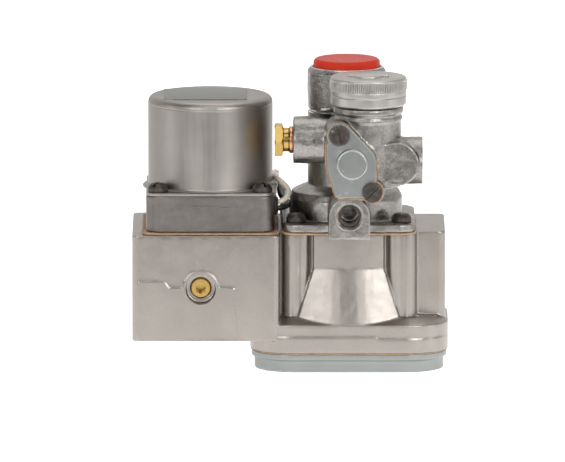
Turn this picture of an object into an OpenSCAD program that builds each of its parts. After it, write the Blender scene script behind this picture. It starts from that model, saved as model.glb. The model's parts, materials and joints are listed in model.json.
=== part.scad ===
// Combination gas valve: pilot safety valve with a manual reset button and gas cock,
// and a redundant solenoid valve on the same body. Millimetres, +X right, +Y back, +Z up.
// Origin: centre of the bounding box's bottom face.

/* [Main body] */
// Length of the body from the left port face to the right end of the foot
body_len = 146.6; // [144:0.1:150]
// Depth of the body's left block, front to back
body_depth = 70.4; // [70:0.1:72]
// Height of the body's machined top face above the ground
body_top = 64.3; // [63:0.1:66]
// Height of the left block's underside
body_bottom = 14.8; // [13:0.1:17]
// Height where the foot sits on its gasket
foot_bottom = 9.2; // [9:0.1:10]
// Height of the foot's top face
foot_top = 25.2; // [24:0.1:26]

/* [Pipe ports] */
// Wall radius of the 3/4 inch pipe threads at their pitch line
pipe_r = 12.3; // [11.6:0.1:12.6]
// Depth of each pipe thread
pipe_len = 16; // [14:0.5:16]
// Height of the pipe axis
pipe_z = 43; // [42:0.5:44]
// Wall radius of the 1/8 inch pipe threads at their pitch line
small_pipe_r = 4.75; // [4.4:0.05:5]

/* [Solenoid] */
// Left-right place of the solenoid axis
sol_x = -37.1; // [-38:0.1:-36]
// Side of the square base block
sol_base_w = 59.5; // [58:0.5:60]
// Outer radius of the coil can
can_r = 29; // [28:0.1:29]
// Height of the can's flat top
can_top = 125.7; // [124:0.1:128]
// Opening travel of the plunger
plunger_travel = 3.5; // [2:0.1:3.5]

/* [Bonnet] */
// Left-right place of the bonnet flange and its screws
bonnet_x = 27.1; // [26.5:0.1:27.5]
// Side of the square bonnet flange
bonnet_w = 61.4; // [60:0.1:61.5]
// Left-right place of the reset axis
reset_x = 26.2; // [26:0.1:26.4]
// Radius of the reset tower
tower_r = 18.2; // [17.5:0.1:18.2]
// Height of the tower's top
tower_top = 120.5; // [119:0.1:121]

/* [Reset button] */
// Radius of the red button
button_r = 15.5; // [15:0.1:15.5]
// Height of the button's top
button_top = 142.7; // [142:0.1:143]

/* [Gas cock] */
// Left-right place of the cock axis
cock_x = 36.1; // [36:0.1:37]
// Front-back place of the cock axis
cock_y = -26.1; // [-26.5:0.1:-26]
// Radius of the knob
knob_r = 17.9; // [17:0.1:17.9]
// Height of the knob's rim
knob_top = 139.6; // [139:0.1:141]

/* [Lead wires] */
// Diameter of each insulated lead
lead_d = 2.6; // [2.2:0.1:2.6]

/* [Hidden] */
$fn = 64;

// Body
body_x0 = -body_len / 2;
body_x1 = body_len / 2;
body_y1 = 46.8;
body_y0 = body_y1 - body_depth;
axis_y = 9.1;
pipe_y = 16;
left_block_x1 = -4.8;
right_block_x0 = 45;
right_block_x1 = body_x1 - 1.4;
right_block_y0 = -9.2;
right_block_y1 = 43.6;
foot_x0 = -18.7;
foot_y0 = -24.4;
foot_y1 = 2 * axis_y - foot_y0;
foot_corner = 20;
seat_z0 = 40;
seat_z1 = 46;
bonnet_screw_xy = [[2.7, -13.5], [51.5, -13.5], [5.1, 33.1], [46.5, 33.1]];
sol_pitch = 24.2;
thread_r = 2.4;
screw_hole_r = 2.6;
screw_end_z = 50;
foot_screw_xy = [[-6.6, -14], [27.3, -16.9], [61.2, -14], [-6.6, 32.2], [27.3, 35.1], [61.2, 32.2]];
bushing_x = 37;
bushing_z = 17;
tap_x = -41.5;
tap_z = 39.1;
pad_y = body_y0 - 0.5;

// Covers and gaskets
gasket_t = 1;
deck_z = body_top + gasket_t;
cover_z = foot_bottom - 0.6;
cover_step_z = 5.7;
cover_floor_z = 3;

// Bonnet
bonnet_flange_z = deck_z + 3.7;
dome_x = 25.8;
dome_r = 26.2;
dome_z = 78;
shoulder_z = 84;
face_y = -42;
boss_x = 27.3;
boss_z = 75.9;
boss_half_w = 9.55;
cock_body_r = 15.2;
cock_bore_r = 8;
cock_floor_z = 92;
cock_top_z = 125.9;
side_boss_r = 10.95;
side_boss_x = 61.2;
side_boss_z = 100.2;
left_boss_x = 1.4;
left_boss_y = -12.4;
left_boss_z = 107.7;
left_boss_r = 10.9;
stem_r = 3;
stem_bore_r = 3.06;
pocket_r = 13.2;
pocket_z = 105;

// Filter cover
cover_a = [22.7, 114.5];
cover_b = [37.9, 88];
emboss_xz = [28.55, 101.1];
filter_gasket_y = face_y - 0.8;
filter_cover_y = filter_gasket_y - 2;

// Reset parts
housing_top = 138.9;
housing_edge_z = 137.1;
housing_in_r = 15.9;
button_skirt_z = button_top - 11.2;
button_roof_z = button_top - 3.2;

// Solenoid
can_wall = 1.2;
cover_plate_z = 82.3;
can_foot_z = cover_plate_z + 1.4;
tube_r = 8.2;
tube_in_r = 7.6;
bushing_y = -6.6;
bushing_axis_z = 76.1;

// Lead routes: out of the bushing, back between the can and the tower, down the body's back
// and along the ground to a coil
lead_r = lead_d / 2;
lead_ground_z = lead_r + 0.05;
white_route = [
    [-9.5, -6.6, 77.5], [-7, -6.6, 77.5], [-4.63, -6.24, 77.8], [-2.62, -5.21, 78.67],
    [-1.27, -3.67, 79.96], [-0.8, -1.85, 81.49], [-1.27, -0.03, 83.01], [-2.3, 1.3, 84.1],
    [-3.55, 2.9, 85.05], [-4.7, 5.1, 85.7], [-5.55, 7.8, 86], [-6.2, 10.9, 86.15], [-7.2, 15, 86.2],
    [-8.2, 21.5, 86], [-8.2, 26.5, 85.8], [-7, 32.5, 85.6], [-6.4, 38, 84.4], [-6.8, 43.5, 80.4],
    [-7.5, 48, 74], [-8, 50.2, 64], [-8, 50.8, 48], [-8, 51, 34], [-8, 51, 22], [-8, 51.6, 13],
    [-8, 54, 6.5], [-8, 58.4, 2.7], [-8, 64, lead_ground_z], [-8, 70, lead_ground_z]
];
black_route = [
    [-9.5, -6.6, 74.7], [-7, -6.6, 74.7], [-4.63, -6.14, 74.8], [-2.62, -4.82, 75.08],
    [-1.27, -2.86, 75.5], [-0.8, -0.54, 75.99], [-1.27, 1.78, 76.48], [-2.25, 3.5, 76.9],
    [-3.3, 5.2, 77.5], [-4.15, 7.3, 78.3], [-4.7, 9.7, 79.3], [-4.9, 12.4, 80.3], [-4.85, 15.5, 81.15],
    [-4.6, 19.5, 81.7], [-4.2, 25, 81.9], [-3.6, 32, 80.6], [-3.3, 38.5, 77.8], [-3.5, 44.5, 72.6],
    [-3.6, 49, 65], [-3.6, 50.6, 54], [-3.6, 50.8, 36], [-3.4, 50.8, 22], [-2.2, 50.9, 12.6],
    [1.8, 50.8, 6.2], [7.4, 50.6, 2.6], [14, 50.4, lead_ground_z], [24, 50.2, lead_ground_z],
    [35, 50.1, lead_ground_z], [46, 50.1, lead_ground_z]
];
white_coil_xy = [7.9, 70];
black_coil_xy = [46, 66];
coil_mid_r = 14.5;
coil_half_w = 2.9;
coil_h = 5.2;

cast = [0.62, 0.6, 0.57];
zinc = [0.6, 0.62, 0.62];
steel = [0.66, 0.63, 0.6];
black_oxide = [0.22, 0.2, 0.19];
fibre = [0.62, 0.47, 0.33];
brass = [0.75, 0.6, 0.25];
spring_steel = [0.7, 0.7, 0.7];

// ---- helpers ----

module cyl_x(x0, x1, y, z, r) {
    translate([x0, y, z]) rotate([0, 90, 0]) cylinder(h = x1 - x0, r = r);
}

module cyl_y(y0, y1, x, z, r) {
    translate([x, y1, z]) rotate([90, 0, 0]) cylinder(h = y1 - y0, r = r);
}

module cyl_z(z0, z1, x, y, r) {
    translate([x, y, z0]) cylinder(h = z1 - z0, r = r);
}

module box(x0, x1, y0, y1, z0, z1) {
    translate([x0, y0, z0]) cube([x1 - x0, y1 - y0, z1 - z0]);
}

// Rectangle with round corners, from true arcs
module round_rect(x0, x1, y0, y1, r) {
    translate([x0 + r, y0]) square([x1 - x0 - 2 * r, y1 - y0]);
    translate([x0, y0 + r]) square([x1 - x0, y1 - y0 - 2 * r]);
    for (x = [x0 + r, x1 - r], y = [y0 + r, y1 - r]) translate([x, y]) circle(r = r);
}

module round_block(x0, x1, y0, y1, r, z0, z1) {
    translate([0, 0, z0]) linear_extrude(z1 - z0) round_rect(x0, x1, y0, y1, r);
}

// Square centred on an axis
module square_block(x, w, r, z0, z1) {
    round_block(x - w / 2, x + w / 2, axis_y - w / 2, axis_y + w / 2, r, z0, z1);
}

// The four screw places around a square flange
module at_corners(x, pitch) {
    for (sx = [-1, 1], sy = [-1, 1]) translate([x + sx * pitch, axis_y + sy * pitch, 0]) children();
}

module at_bonnet_screws() {
    for (p = bonnet_screw_xy) translate([p[0], p[1], 0]) children();
}

// Extrudes an outline drawn in X and Z, from y0 back to y1
module front_plate(y0, y1) {
    translate([0, y1, 0]) rotate([90, 0, 0]) linear_extrude(y1 - y0) children();
}

// Slotted round-head screw pointing down, with its seat at z = 0
module round_head_screw(head_r, head_h, shank_len) {
    edge = head_h * 0.45;
    difference() {
        rotate_extrude() polygon(concat(
            [[0, -shank_len], [thread_r, -shank_len], [thread_r, 0], [head_r, 0]],
            [for (a = [0 : 15 : 90]) [head_r - edge + edge * cos(a), head_h - edge + edge * sin(a)]],
            [[0, head_h]]
        ));
        box(-head_r - 1, head_r + 1, -0.6, 0.6, head_h - 1.6, head_h + 1);
    }
}

// Closed skin over n + 1 rings of points, each ring turning right-handed about the way it goes
module sweep(points, sides, n) {
    wall = [
        for (i = [0 : n - 1], k = [0 : sides - 1])
            let (k2 = (k + 1) % sides)
            [i * sides + k, (i + 1) * sides + k, (i + 1) * sides + k2, i * sides + k2]
    ];
    start = [[for (k = [0 : sides - 1]) k]];
    end = [[for (k = [sides - 1 : -1 : 0]) n * sides + k]];
    polyhedron(points, concat(wall, start, end), convexity = 10);
}

// Helical wire with its centre line from z0 to z1
module helix(x, y, mean_r, wire_r, z0, z1, turns) {
    per_turn = 12;
    sides = 6;
    n = turns * per_turn;
    points = [
        for (i = [0 : n], k = [0 : sides - 1])
            let (a = 360 * i / per_turn, b = 360 * k / sides, r = mean_r - wire_r * cos(b))
            [x + r * cos(a), y + r * sin(a), z0 + (z1 - z0) * i / n + wire_r * sin(b)]
    ];
    sweep(points, sides, n);
}

function unit(v) = v / norm(v);
function tangent(p, i) = unit(p[min(i + 1, len(p) - 1)] - p[max(i - 1, 0)]);
function side_of(t) = unit(cross(t, abs(t[2]) > 0.8 ? [1, 0, 0] : [0, 0, 1]));

// Catmull-Rom point between p[i] and p[i + 1]
function smooth_point(p, i, t) =
    let (
        a = p[max(i - 1, 0)], b = p[i], c = p[min(i + 1, len(p) - 1)], d = p[min(i + 2, len(p) - 1)]
    )
    0.5 * (2 * b + (c - a) * t + (2 * a - 5 * b + 4 * c - d) * t * t
        + (3 * b - a - 3 * c + d) * t * t * t);
function smooth_route(p, steps) = concat(
    [for (i = [0 : len(p) - 2], s = [0 : steps - 1]) smooth_point(p, i, s / steps)],
    [p[len(p) - 1]]
);

// Carries one side vector along the route, so that the rings don't twist
function frames(p, i = 0, s = undef) =
    let (
        t = tangent(p, i),
        raw = is_undef(s) ? side_of(t) : s - (s * t) * t,
        u = unit(raw)
    )
    i == len(p) - 1 ? [[t, u]] : concat([[t, u]], frames(p, i + 1, u));

// Round tube along a route
module tube(route, r) {
    sides = 8;
    p = smooth_route(route, 2);
    f = frames(p);
    n = len(p) - 1;
    points = [
        for (i = [0 : n], k = [0 : sides - 1])
            let (b = 360 * k / sides, t = f[i][0], u = f[i][1], v = cross(t, u))
            p[i] + r * (u * cos(b) + v * sin(b))
    ];
    sweep(points, sides, n);
}

// ---- main body ----

// Outline of the raised pad on the left block's front, in X and Z
module front_pad_outline() {
    polygon([
        [body_x0 + 3, body_bottom + 0.5], [body_x0 + 3, 42.3], [-58.3, 42.3], [-56, 39.5],
        [-26.2, 39.5], [-23.9, body_bottom + 0.5]
    ]);
    translate([tap_x, tap_z]) circle(r = 8.2);
}

// Bowed pad and sloping skirt of the valve chamber, in front of the screw columns
module chamber_front() {
    bow_y = 40;
    pad_front = -19.2;
    skirt_front = -24.4;
    skirt_z0 = 21.5;
    skirt_z1 = 48;
    pad_half_w = 16.3;
    skirt_half_w = 24.8;
    intersection() {
        cyl_z(skirt_z1 - 2, body_top, bonnet_x, bow_y, bow_y - pad_front);
        box(bonnet_x - pad_half_w, bonnet_x + pad_half_w, -30, axis_y, skirt_z1 - 2, body_top);
    }
    intersection() {
        translate([bonnet_x, bow_y, skirt_z0])
            cylinder(h = skirt_z1 - skirt_z0, r1 = bow_y - skirt_front, r2 = bow_y - pad_front);
        front_plate(-30, axis_y) polygon([
            [bonnet_x - skirt_half_w, skirt_z0], [bonnet_x + skirt_half_w, skirt_z0],
            [bonnet_x + pad_half_w, skirt_z1], [bonnet_x - pad_half_w, skirt_z1]
        ]);
    }
    // Web that closes the corners between the pad and the columns
    box(bonnet_x - 18, bonnet_x + 18, -13.6, axis_y, foot_top - 3, body_top);
}

// One screw column, its front face at Y front with a shallow flute down it
module screw_column(x, front) {
    column_r = 7.2;
    y = front + column_r;
    difference() {
        union() {
            cyl_z(foot_top - 3, body_top, x, y, column_r);
            box(x - column_r, x + column_r, y, axis_y, foot_top - 3, body_top);
        }
        cyl_z(foot_top - 4, body_top + 1, x, front - 1.8, 3.2);
    }
}

module foot() {
    parting_x = 40;
    round_block(foot_x0, body_x1, foot_y0, foot_y1, foot_corner, foot_bottom, 22.2);
    // Lower half of the mould stands a little proud of the parting line
    round_block(foot_x0, body_x1, foot_y0 - 0.3, foot_y1 + 0.3, foot_corner, foot_bottom, 15.7);
    intersection() {
        round_block(foot_x0, body_x1, foot_y0 - 0.3, foot_y1, foot_corner, foot_bottom, 16.6);
        box(foot_x0, parting_x, foot_y0 - 1, foot_y1 + 1, foot_bottom, 17);
    }
    hull() {
        round_block(foot_x0, body_x1, foot_y0, foot_y1, foot_corner, 22, 22.2);
        round_block(foot_x0 + 4, body_x1 - 4, foot_y0 + 5, foot_y1 - 5, foot_corner - 4,
            foot_top - 0.1, foot_top);
    }
}

module body_solid() {
    round_block(body_x0, left_block_x1, body_y0, body_y1, 3, body_bottom, body_top);
    front_plate(pad_y, body_y0 + 1) front_pad_outline();
    round_block(-12, 60, -6, 41, 2, foot_top - 3, body_top);
    round_block(right_block_x0, right_block_x1, right_block_y0, right_block_y1, 3,
        foot_top - 3, body_top);
    for (p = bonnet_screw_xy)
        if (p[1] < axis_y) screw_column(p[0], -18.4);
        else cyl_z(foot_top - 3, body_top, p[0], p[1], 7.2);
    chamber_front();
    foot();
}

// Gas passages: right port, lower chamber, safety seat, upper chamber, solenoid seat, left port
module body_passages() {
    cyl_x(right_block_x1 - pipe_len, right_block_x1 + 1, pipe_y, pipe_z, pipe_r);
    cyl_x(40, right_block_x1 - pipe_len + 4, pipe_y, 31.5, 7.5);
    cyl_z(foot_bottom - 1, seat_z0, reset_x, axis_y, 21);
    cyl_z(seat_z0 - 1, seat_z1 + 1, reset_x, axis_y, 11);
    cyl_z(seat_z1, body_top + 1, reset_x, axis_y, 17.5);
    cyl_x(sol_x, reset_x, axis_y, 55, 7.5);
    cyl_z(seat_z1, body_top + 1, sol_x, axis_y, 17);
    cyl_z(seat_z0 - 1, seat_z1 + 1, sol_x, axis_y, 10);
    cyl_z(21, seat_z0, sol_x, axis_y, 16);
    cyl_x(body_x0 - 1, body_x0 + pipe_len, pipe_y, pipe_z, pipe_r);
    cyl_x(body_x0 + pipe_len - 4, sol_x, pipe_y, 31.5, 7.5);
}

module main_body() {
    color(cast) difference() {
        body_solid();
        body_passages();
        at_bonnet_screws() cyl_z(screw_end_z, body_top + 1, 0, 0, thread_r);
        at_corners(sol_x, sol_pitch) cyl_z(screw_end_z, body_top + 1, 0, 0, thread_r);
        for (p = foot_screw_xy) cyl_z(foot_bottom - 1, 20, p[0], p[1], thread_r);
        cyl_y(pad_y - 1, pad_y + 6, tap_x, tap_z, 7);
        cyl_y(pad_y + 5, pad_y + 15, tap_x, tap_z, small_pipe_r);
        cyl_y(foot_y1 - 9, foot_y1 + 1, bushing_x, bushing_z, 6);
        cyl_y(10, foot_y1 - 8, bushing_x - 1, bushing_z, 1.5);
    }
}

// Hex-socket pipe plug at the bottom of its round recess
module tap_plug() {
    color(brass) difference() {
        cyl_y(pad_y + 5, pad_y + 14, tap_x, tap_z, small_pipe_r);
        translate([tap_x, pad_y + 9, tap_z]) rotate([90, 0, 0]) cylinder(h = 6, r = 2.75, $fn = 6);
    }
}

// ---- bottom cover ----

module bottom_gasket() {
    color(fibre) difference() {
        round_block(foot_x0 + 0.3, body_x1 - 0.3, foot_y0 + 0.2, foot_y1 - 0.2, foot_corner - 0.3,
            cover_z, foot_bottom);
        cyl_z(cover_z - 1, foot_bottom + 1, reset_x, axis_y, 21);
        for (p = foot_screw_xy) cyl_z(cover_z - 1, foot_bottom + 1, p[0], p[1], screw_hole_r);
    }
}

module bottom_cover() {
    color(zinc) difference() {
        union() {
            round_block(foot_x0 + 0.8, body_x1 - 0.8, foot_y0 + 0.6, foot_y1 - 0.6,
                foot_corner - 0.8, cover_step_z, cover_z);
            round_block(foot_x0 + 2.2, body_x1 - 2.2, foot_y0 + 1.8, foot_y1 - 1.8,
                foot_corner - 2, 0, cover_step_z);
        }
        cyl_z(cover_floor_z, cover_z + 1, reset_x, axis_y, 18);
        for (p = foot_screw_xy) {
            cyl_z(-1, cover_z + 1, p[0], p[1], screw_hole_r);
            cyl_z(-1, 4.6, p[0], p[1], 4.8);
        }
    }
}

module bottom_cover_screws() {
    color(black_oxide) for (p = foot_screw_xy)
        translate([p[0], p[1], 4.6]) mirror([0, 0, 1]) round_head_screw(4.5, 3.4, 13);
}

// ---- safety magnet and thermocouple connection ----

module magnet_core() {
    color(steel) {
        cyl_z(cover_floor_z, 5, reset_x, axis_y, 9);
        cyl_z(5, 18.4, reset_x, axis_y, stem_r);
        difference() {
            cyl_z(5, 18.4, reset_x, axis_y, 9);
            cyl_z(4, 19, reset_x, axis_y, 7.4);
        }
    }
}

module magnet_coil() {
    color([0.72, 0.4, 0.2]) difference() {
        cyl_z(5, 17, reset_x, axis_y, 7.4);
        cyl_z(4, 18, reset_x, axis_y, stem_r);
    }
}

// Brass bushing that takes the thermocouple's nut
module thermocouple_bushing() {
    color(brass) difference() {
        union() {
            cyl_y(foot_y1 - 9, foot_y1 + 0.3, bushing_x, bushing_z, 6);
            translate([bushing_x, foot_y1 + 3.2, bushing_z]) rotate([90, 0, 0])
                cylinder(h = 2.9, r = 7.6, $fn = 6);
        }
        cyl_y(foot_y1 - 6, foot_y1 + 4, bushing_x, bushing_z, 4.1);
    }
}

// ---- bonnet ----

module bonnet_gasket() {
    w = bonnet_w + 1;
    color(fibre) difference() {
        square_block(bonnet_x, w, 7.5, body_top, deck_z);
        cyl_z(body_top - 1, deck_z + 1, reset_x, axis_y, 17.5);
        at_bonnet_screws() cyl_z(body_top - 1, deck_z + 1, 0, 0, screw_hole_r);
    }
}

// Outline of the filter cover in X and Z; grow widens it for the gasket and its pad
module cover_outline(grow) {
    polygon([
        [16.9 - grow, 110.4], [16.9 - grow, 99.9], [21.3 - grow, 86 - grow * 0.4],
        [22.6, 85.4 - grow], [36, 85.4 - grow], [39.6 + grow * 0.6, 93.8],
        [39.4 + grow * 0.3, 103.4], [38.3 + grow * 0.3, 106.4], [27.4, 118.2]
    ]);
    translate(cover_a) circle(r = 5.8 + grow * 0.4);
    translate(cover_b) circle(r = 4.7 + grow);
}

module front_boss_outline() {
    translate([boss_x - boss_half_w, deck_z]) square([2 * boss_half_w, boss_z - deck_z]);
    translate([boss_x, boss_z]) circle(r = boss_half_w);
}

module bonnet_solid() {
    square_block(bonnet_x, bonnet_w, 7, deck_z, bonnet_flange_z);
    at_bonnet_screws() cyl_z(bonnet_flange_z - 1, bonnet_flange_z + 0.4, 0, 0, 5.6);
    cyl_z(deck_z, dome_z, dome_x, axis_y, dome_r);
    translate([dome_x, axis_y, dome_z]) cylinder(h = 3.2, r1 = dome_r, r2 = 24.8);
    translate([dome_x, axis_y, dome_z + 3.2])
        cylinder(h = shoulder_z - dome_z - 3.2, r1 = 24.8, r2 = tower_r + 0.4);
    cyl_z(dome_z, tower_top, reset_x, axis_y, tower_r);
    front_plate(face_y, -8) cover_outline(0.9);
    front_plate(face_y, -8) front_boss_outline();
    cyl_z(88.5, 123, cock_x, cock_y, cock_body_r);
    cyl_z(119.5, 121, cock_x, cock_y, cock_body_r + 0.4);
    cyl_z(123, cock_top_z, cock_x, cock_y, cock_body_r + 0.9);
    box(23, 49.5, cock_y, 0, 90.5, 117);
    cyl_y(-39.4, -16, 49.15, 100.3, 10.2);
    cyl_x(cock_x, side_boss_x, cock_y, side_boss_z, side_boss_r);
    cyl_x(left_boss_x, 24, left_boss_y, left_boss_z, left_boss_r);
    cyl_z(116.8, tower_top - 0.2, 16.8, -8.6, 5.2);
    cyl_z(111, 117, 17.6, -9, 3.2);
}

module bonnet_passages() {
    cyl_z(deck_z - 1, 75.5, reset_x, axis_y, 17.5);
    cyl_z(70, tower_top + 1, reset_x, axis_y, stem_bore_r);
    cyl_z(78, 80.2, reset_x, axis_y, 5.2);
    cyl_z(pocket_z, tower_top + 1, reset_x, axis_y, pocket_r);
    // Pilot outlet with its chamfer, and the drilled way up to the cock
    cyl_y(face_y - 1, -26, boss_x, boss_z, small_pipe_r);
    translate([boss_x, face_y - 0.01, boss_z]) rotate([-90, 0, 0])
        cylinder(h = 1.6, r1 = 6.4, r2 = small_pipe_r);
    cyl_z(boss_z, cock_floor_z + 1, 30, -27.5, 1.8);
    // Filter chamber and its way to the cock
    cyl_y(face_y - 1, -37.5, emboss_xz[0], emboss_xz[1], 6.2);
    cyl_y(-38, -27, emboss_xz[0] + 1, emboss_xz[1], 1.8);
    cyl_z(cock_floor_z, cock_top_z + 1, cock_x, cock_y, cock_bore_r);
    // Side ports
    cyl_x(side_boss_x - 13, side_boss_x + 1, cock_y, side_boss_z, small_pipe_r);
    cyl_x(42, side_boss_x - 12, cock_y, side_boss_z, 2);
    cyl_x(left_boss_x - 1, left_boss_x + 11, left_boss_y, left_boss_z, small_pipe_r);
}

module bonnet() {
    color(cast) difference() {
        bonnet_solid();
        bonnet_passages();
        at_bonnet_screws()
            cyl_z(deck_z - 1, bonnet_flange_z + 1, 0, 0, screw_hole_r);
        for (p = [cover_a, cover_b]) cyl_y(face_y - 1, face_y + 7, p[0], p[1], 1.6);
        // Groove for the retaining clip
        difference() {
            cyl_z(118.2, 119.9, reset_x, axis_y, tower_r + 8);
            cyl_z(117, 121, reset_x, axis_y, tower_r - 1);
        }
    }
}

module bonnet_screws() {
    color(black_oxide) at_bonnet_screws()
        translate([0, 0, bonnet_flange_z + 0.4]) rotate(30) round_head_screw(4.65, 4.4, 18);
}

module stem_seal() {
    color([0.12, 0.12, 0.12]) translate([reset_x, axis_y, 79.1])
        rotate_extrude() translate([4.12, 0]) circle(r = 1.04, $fn = 24);
}

// ---- reset button ----

module reset_housing() {
    color(cast) difference() {
        union() {
            cyl_z(tower_top, housing_edge_z, reset_x, axis_y, tower_r);
            translate([reset_x, axis_y, housing_edge_z])
                cylinder(h = housing_top - housing_edge_z, r1 = tower_r, r2 = 16.7);
        }
        cyl_z(tower_top + 2, housing_top + 1, reset_x, axis_y, housing_in_r);
        cyl_z(tower_top - 1, tower_top + 3, reset_x, axis_y, pocket_r);
    }
}

// Bright wire clip that holds the reset housing on the tower
module retaining_clip() {
    color(spring_steel) translate([reset_x, axis_y, 119.05]) rotate(200)
        rotate_extrude(angle = 140) translate([tower_r - 0.2, 0]) circle(r = 0.8, $fn = 24);
}

module reset_button() {
    edge = 1.4;
    color([0.78, 0.2, 0.15]) translate([reset_x, axis_y, 0]) rotate_extrude() polygon(concat(
        [[0, button_roof_z], [12.6, button_roof_z], [12.6, button_skirt_z], [button_r, button_skirt_z]],
        [for (a = [0 : 15 : 90]) [button_r - edge + edge * cos(a), button_top - edge + edge * sin(a)]],
        [[0, button_top]]
    ));
}

module reset_stem() {
    color(steel) cyl_z(seat_z0, button_roof_z, reset_x, axis_y, stem_r);
}

// Closes the main way while the button is held down
module interrupter_disc() {
    color([0.15, 0.15, 0.15]) difference() {
        union() {
            cyl_z(51.5, 54, reset_x, axis_y, 14);
            cyl_z(54, 57, reset_x, axis_y, 6);
        }
        cyl_z(50, 58, reset_x, axis_y, stem_r);
    }
}

module reset_spring() {
    color(spring_steel) helix(reset_x, axis_y, 9, 0.7, pocket_z + 0.8, button_roof_z - 0.8, 7);
}

// ---- safety valve ----

module safety_disc() {
    color([0.15, 0.15, 0.15]) cyl_z(36.2, seat_z0 - 0.3, reset_x, axis_y, 14);
}

module safety_armature() {
    color(steel) {
        cyl_z(24, 27, reset_x, axis_y, 8.5);
        cyl_z(27, 36.2, reset_x, axis_y, 2.5);
    }
}

module safety_spring() {
    color(spring_steel) helix(reset_x, axis_y, 11.5, 0.6, cover_floor_z + 0.8, 35.4, 7);
}

// ---- plug, filter and its cover ----

module brass_plug() {
    color(brass) {
        translate([-7.3, left_boss_y, left_boss_z]) rotate([0, 90, 0]) rotate(0)
            cylinder(h = 3.8, r = 8.25, $fn = 6);
        cyl_x(-3.5, -0.6, left_boss_y, left_boss_z, 5.6);
        cyl_x(-0.6, left_boss_x, left_boss_y, left_boss_z, 6.3);
        cyl_x(left_boss_x, left_boss_x + 10, left_boss_y, left_boss_z, small_pipe_r);
    }
}

module filter_gasket() {
    color(fibre) difference() {
        front_plate(filter_gasket_y, face_y) cover_outline(0.9);
        for (p = [cover_a, cover_b]) cyl_y(face_y - 2, face_y + 1, p[0], p[1], 1.8);
        cyl_y(face_y - 2, face_y + 1, emboss_xz[0], emboss_xz[1], 6.2);
    }
}

module filter_cover() {
    color(zinc) difference() {
        union() {
            front_plate(filter_cover_y, filter_gasket_y) cover_outline(0);
            translate([emboss_xz[0], filter_cover_y, emboss_xz[1]]) rotate([90, 0, 0])
                cylinder(h = 0.8, r1 = 7.3, r2 = 6);
        }
        for (p = [cover_a, cover_b]) cyl_y(filter_cover_y - 1, face_y, p[0], p[1], 1.8);
    }
}

module filter_cover_screws() {
    color(black_oxide) for (s = [[cover_a, 15], [cover_b, -45]]) {
        head_y = filter_cover_y - 2;
        difference() {
            union() {
                cyl_y(head_y, filter_cover_y, s[0][0], s[0][1], 4.7);
                cyl_y(filter_cover_y, face_y + 6, s[0][0], s[0][1], 1.6);
            }
            translate([s[0][0], head_y, s[0][1]]) rotate([0, s[1], 0]) cube([1.1, 2.2, 12], center = true);
        }
    }
}

module pilot_filter() {
    color([0.8, 0.8, 0.72]) cyl_y(face_y, -37.6, emboss_xz[0], emboss_xz[1], 6);
}

// ---- gas cock ----

module cock_knob() {
    z0 = 126.4;
    groove_z = 131.1;
    knurl_z = [133.8, 138];
    color([0.72, 0.71, 0.68]) difference() {
        union() {
            translate([cock_x, cock_y, 0]) rotate_extrude() polygon([
                [0, z0], [knob_r - 1, z0], [knob_r - 0.4, z0 + 0.6], [knob_r - 0.4, groove_z - 0.4],
                [knob_r - 0.7, groove_z], [knob_r - 0.4, groove_z + 0.4], [knob_r - 0.3, knurl_z[0]],
                [knob_r, knurl_z[0] + 0.2], [knob_r, knurl_z[1]], [knob_r - 0.3, knob_top - 0.8],
                [knob_r - 1.2, knob_top], [0, knob_top]
            ]);
            cyl_z(knob_top - 1, knob_top + 0.6, cock_x, cock_y, 7.3);
        }
        cyl_z(z0 - 1, 136, cock_x, cock_y, stem_r + 0.2);
    }
}

module cock_plug() {
    color(brass) difference() {
        union() {
            cyl_z(cock_floor_z + 0.3, 118, cock_x, cock_y, cock_bore_r - 0.05);
            cyl_z(118, 136, cock_x, cock_y, stem_r + 0.2);
        }
        cyl_x(cock_x - 10, cock_x + 10, cock_y, side_boss_z, 2);
        cyl_z(cock_floor_z - 1, side_boss_z, cock_x, cock_y, 2);
    }
}

module cock_spring() {
    color(spring_steel) helix(cock_x, cock_y, 5.4, 0.5, 118.7, 125.7, 4);
}

// ---- solenoid ----

module solenoid_gasket() {
    color(fibre) difference() {
        square_block(sol_x, 63, 4, body_top, deck_z);
        cyl_z(body_top - 1, deck_z + 1, sol_x, axis_y, 17);
        at_corners(sol_x, sol_pitch) cyl_z(body_top - 1, deck_z + 1, 0, 0, screw_hole_r);
    }
}

module solenoid_base() {
    color([0.5, 0.48, 0.46]) difference() {
        square_block(sol_x, sol_base_w, 6, deck_z, cover_plate_z);
        cyl_z(deck_z - 1, cover_plate_z + 1, sol_x, axis_y, tube_r);
        at_corners(sol_x, sol_pitch) cyl_z(deck_z - 1, cover_plate_z + 1, 0, 0, screw_hole_r);
        // Way for the leads
        cyl_x(-18, 0, bushing_y, bushing_axis_z, 3.4);
        cyl_z(bushing_axis_z, cover_plate_z + 1, -16.5, bushing_y, 3);
    }
}

module solenoid_cover() {
    edge = 3.2;
    in_r = can_r - can_wall;
    in_edge = edge - can_wall;
    color(steel) {
        difference() {
            square_block(sol_x, sol_base_w, 6, cover_plate_z, can_foot_z);
            cyl_z(cover_plate_z - 1, can_foot_z + 1, sol_x, axis_y, can_r - 0.5);
            at_corners(sol_x, sol_pitch) cyl_z(cover_plate_z - 1, can_foot_z + 1, 0, 0, screw_hole_r);
        }
        translate([sol_x, axis_y, 0]) rotate_extrude() polygon(concat(
            [[in_r, cover_plate_z], [can_r, cover_plate_z]],
            [for (a = [0 : 15 : 90]) [can_r - edge + edge * cos(a), can_top - edge + edge * sin(a)]],
            [[0, can_top], [0, can_top - can_wall]],
            [for (a = [90 : -15 : 0])
                [in_r - in_edge + in_edge * cos(a), can_top - can_wall - in_edge + in_edge * sin(a)]]
        ));
    }
}

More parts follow.
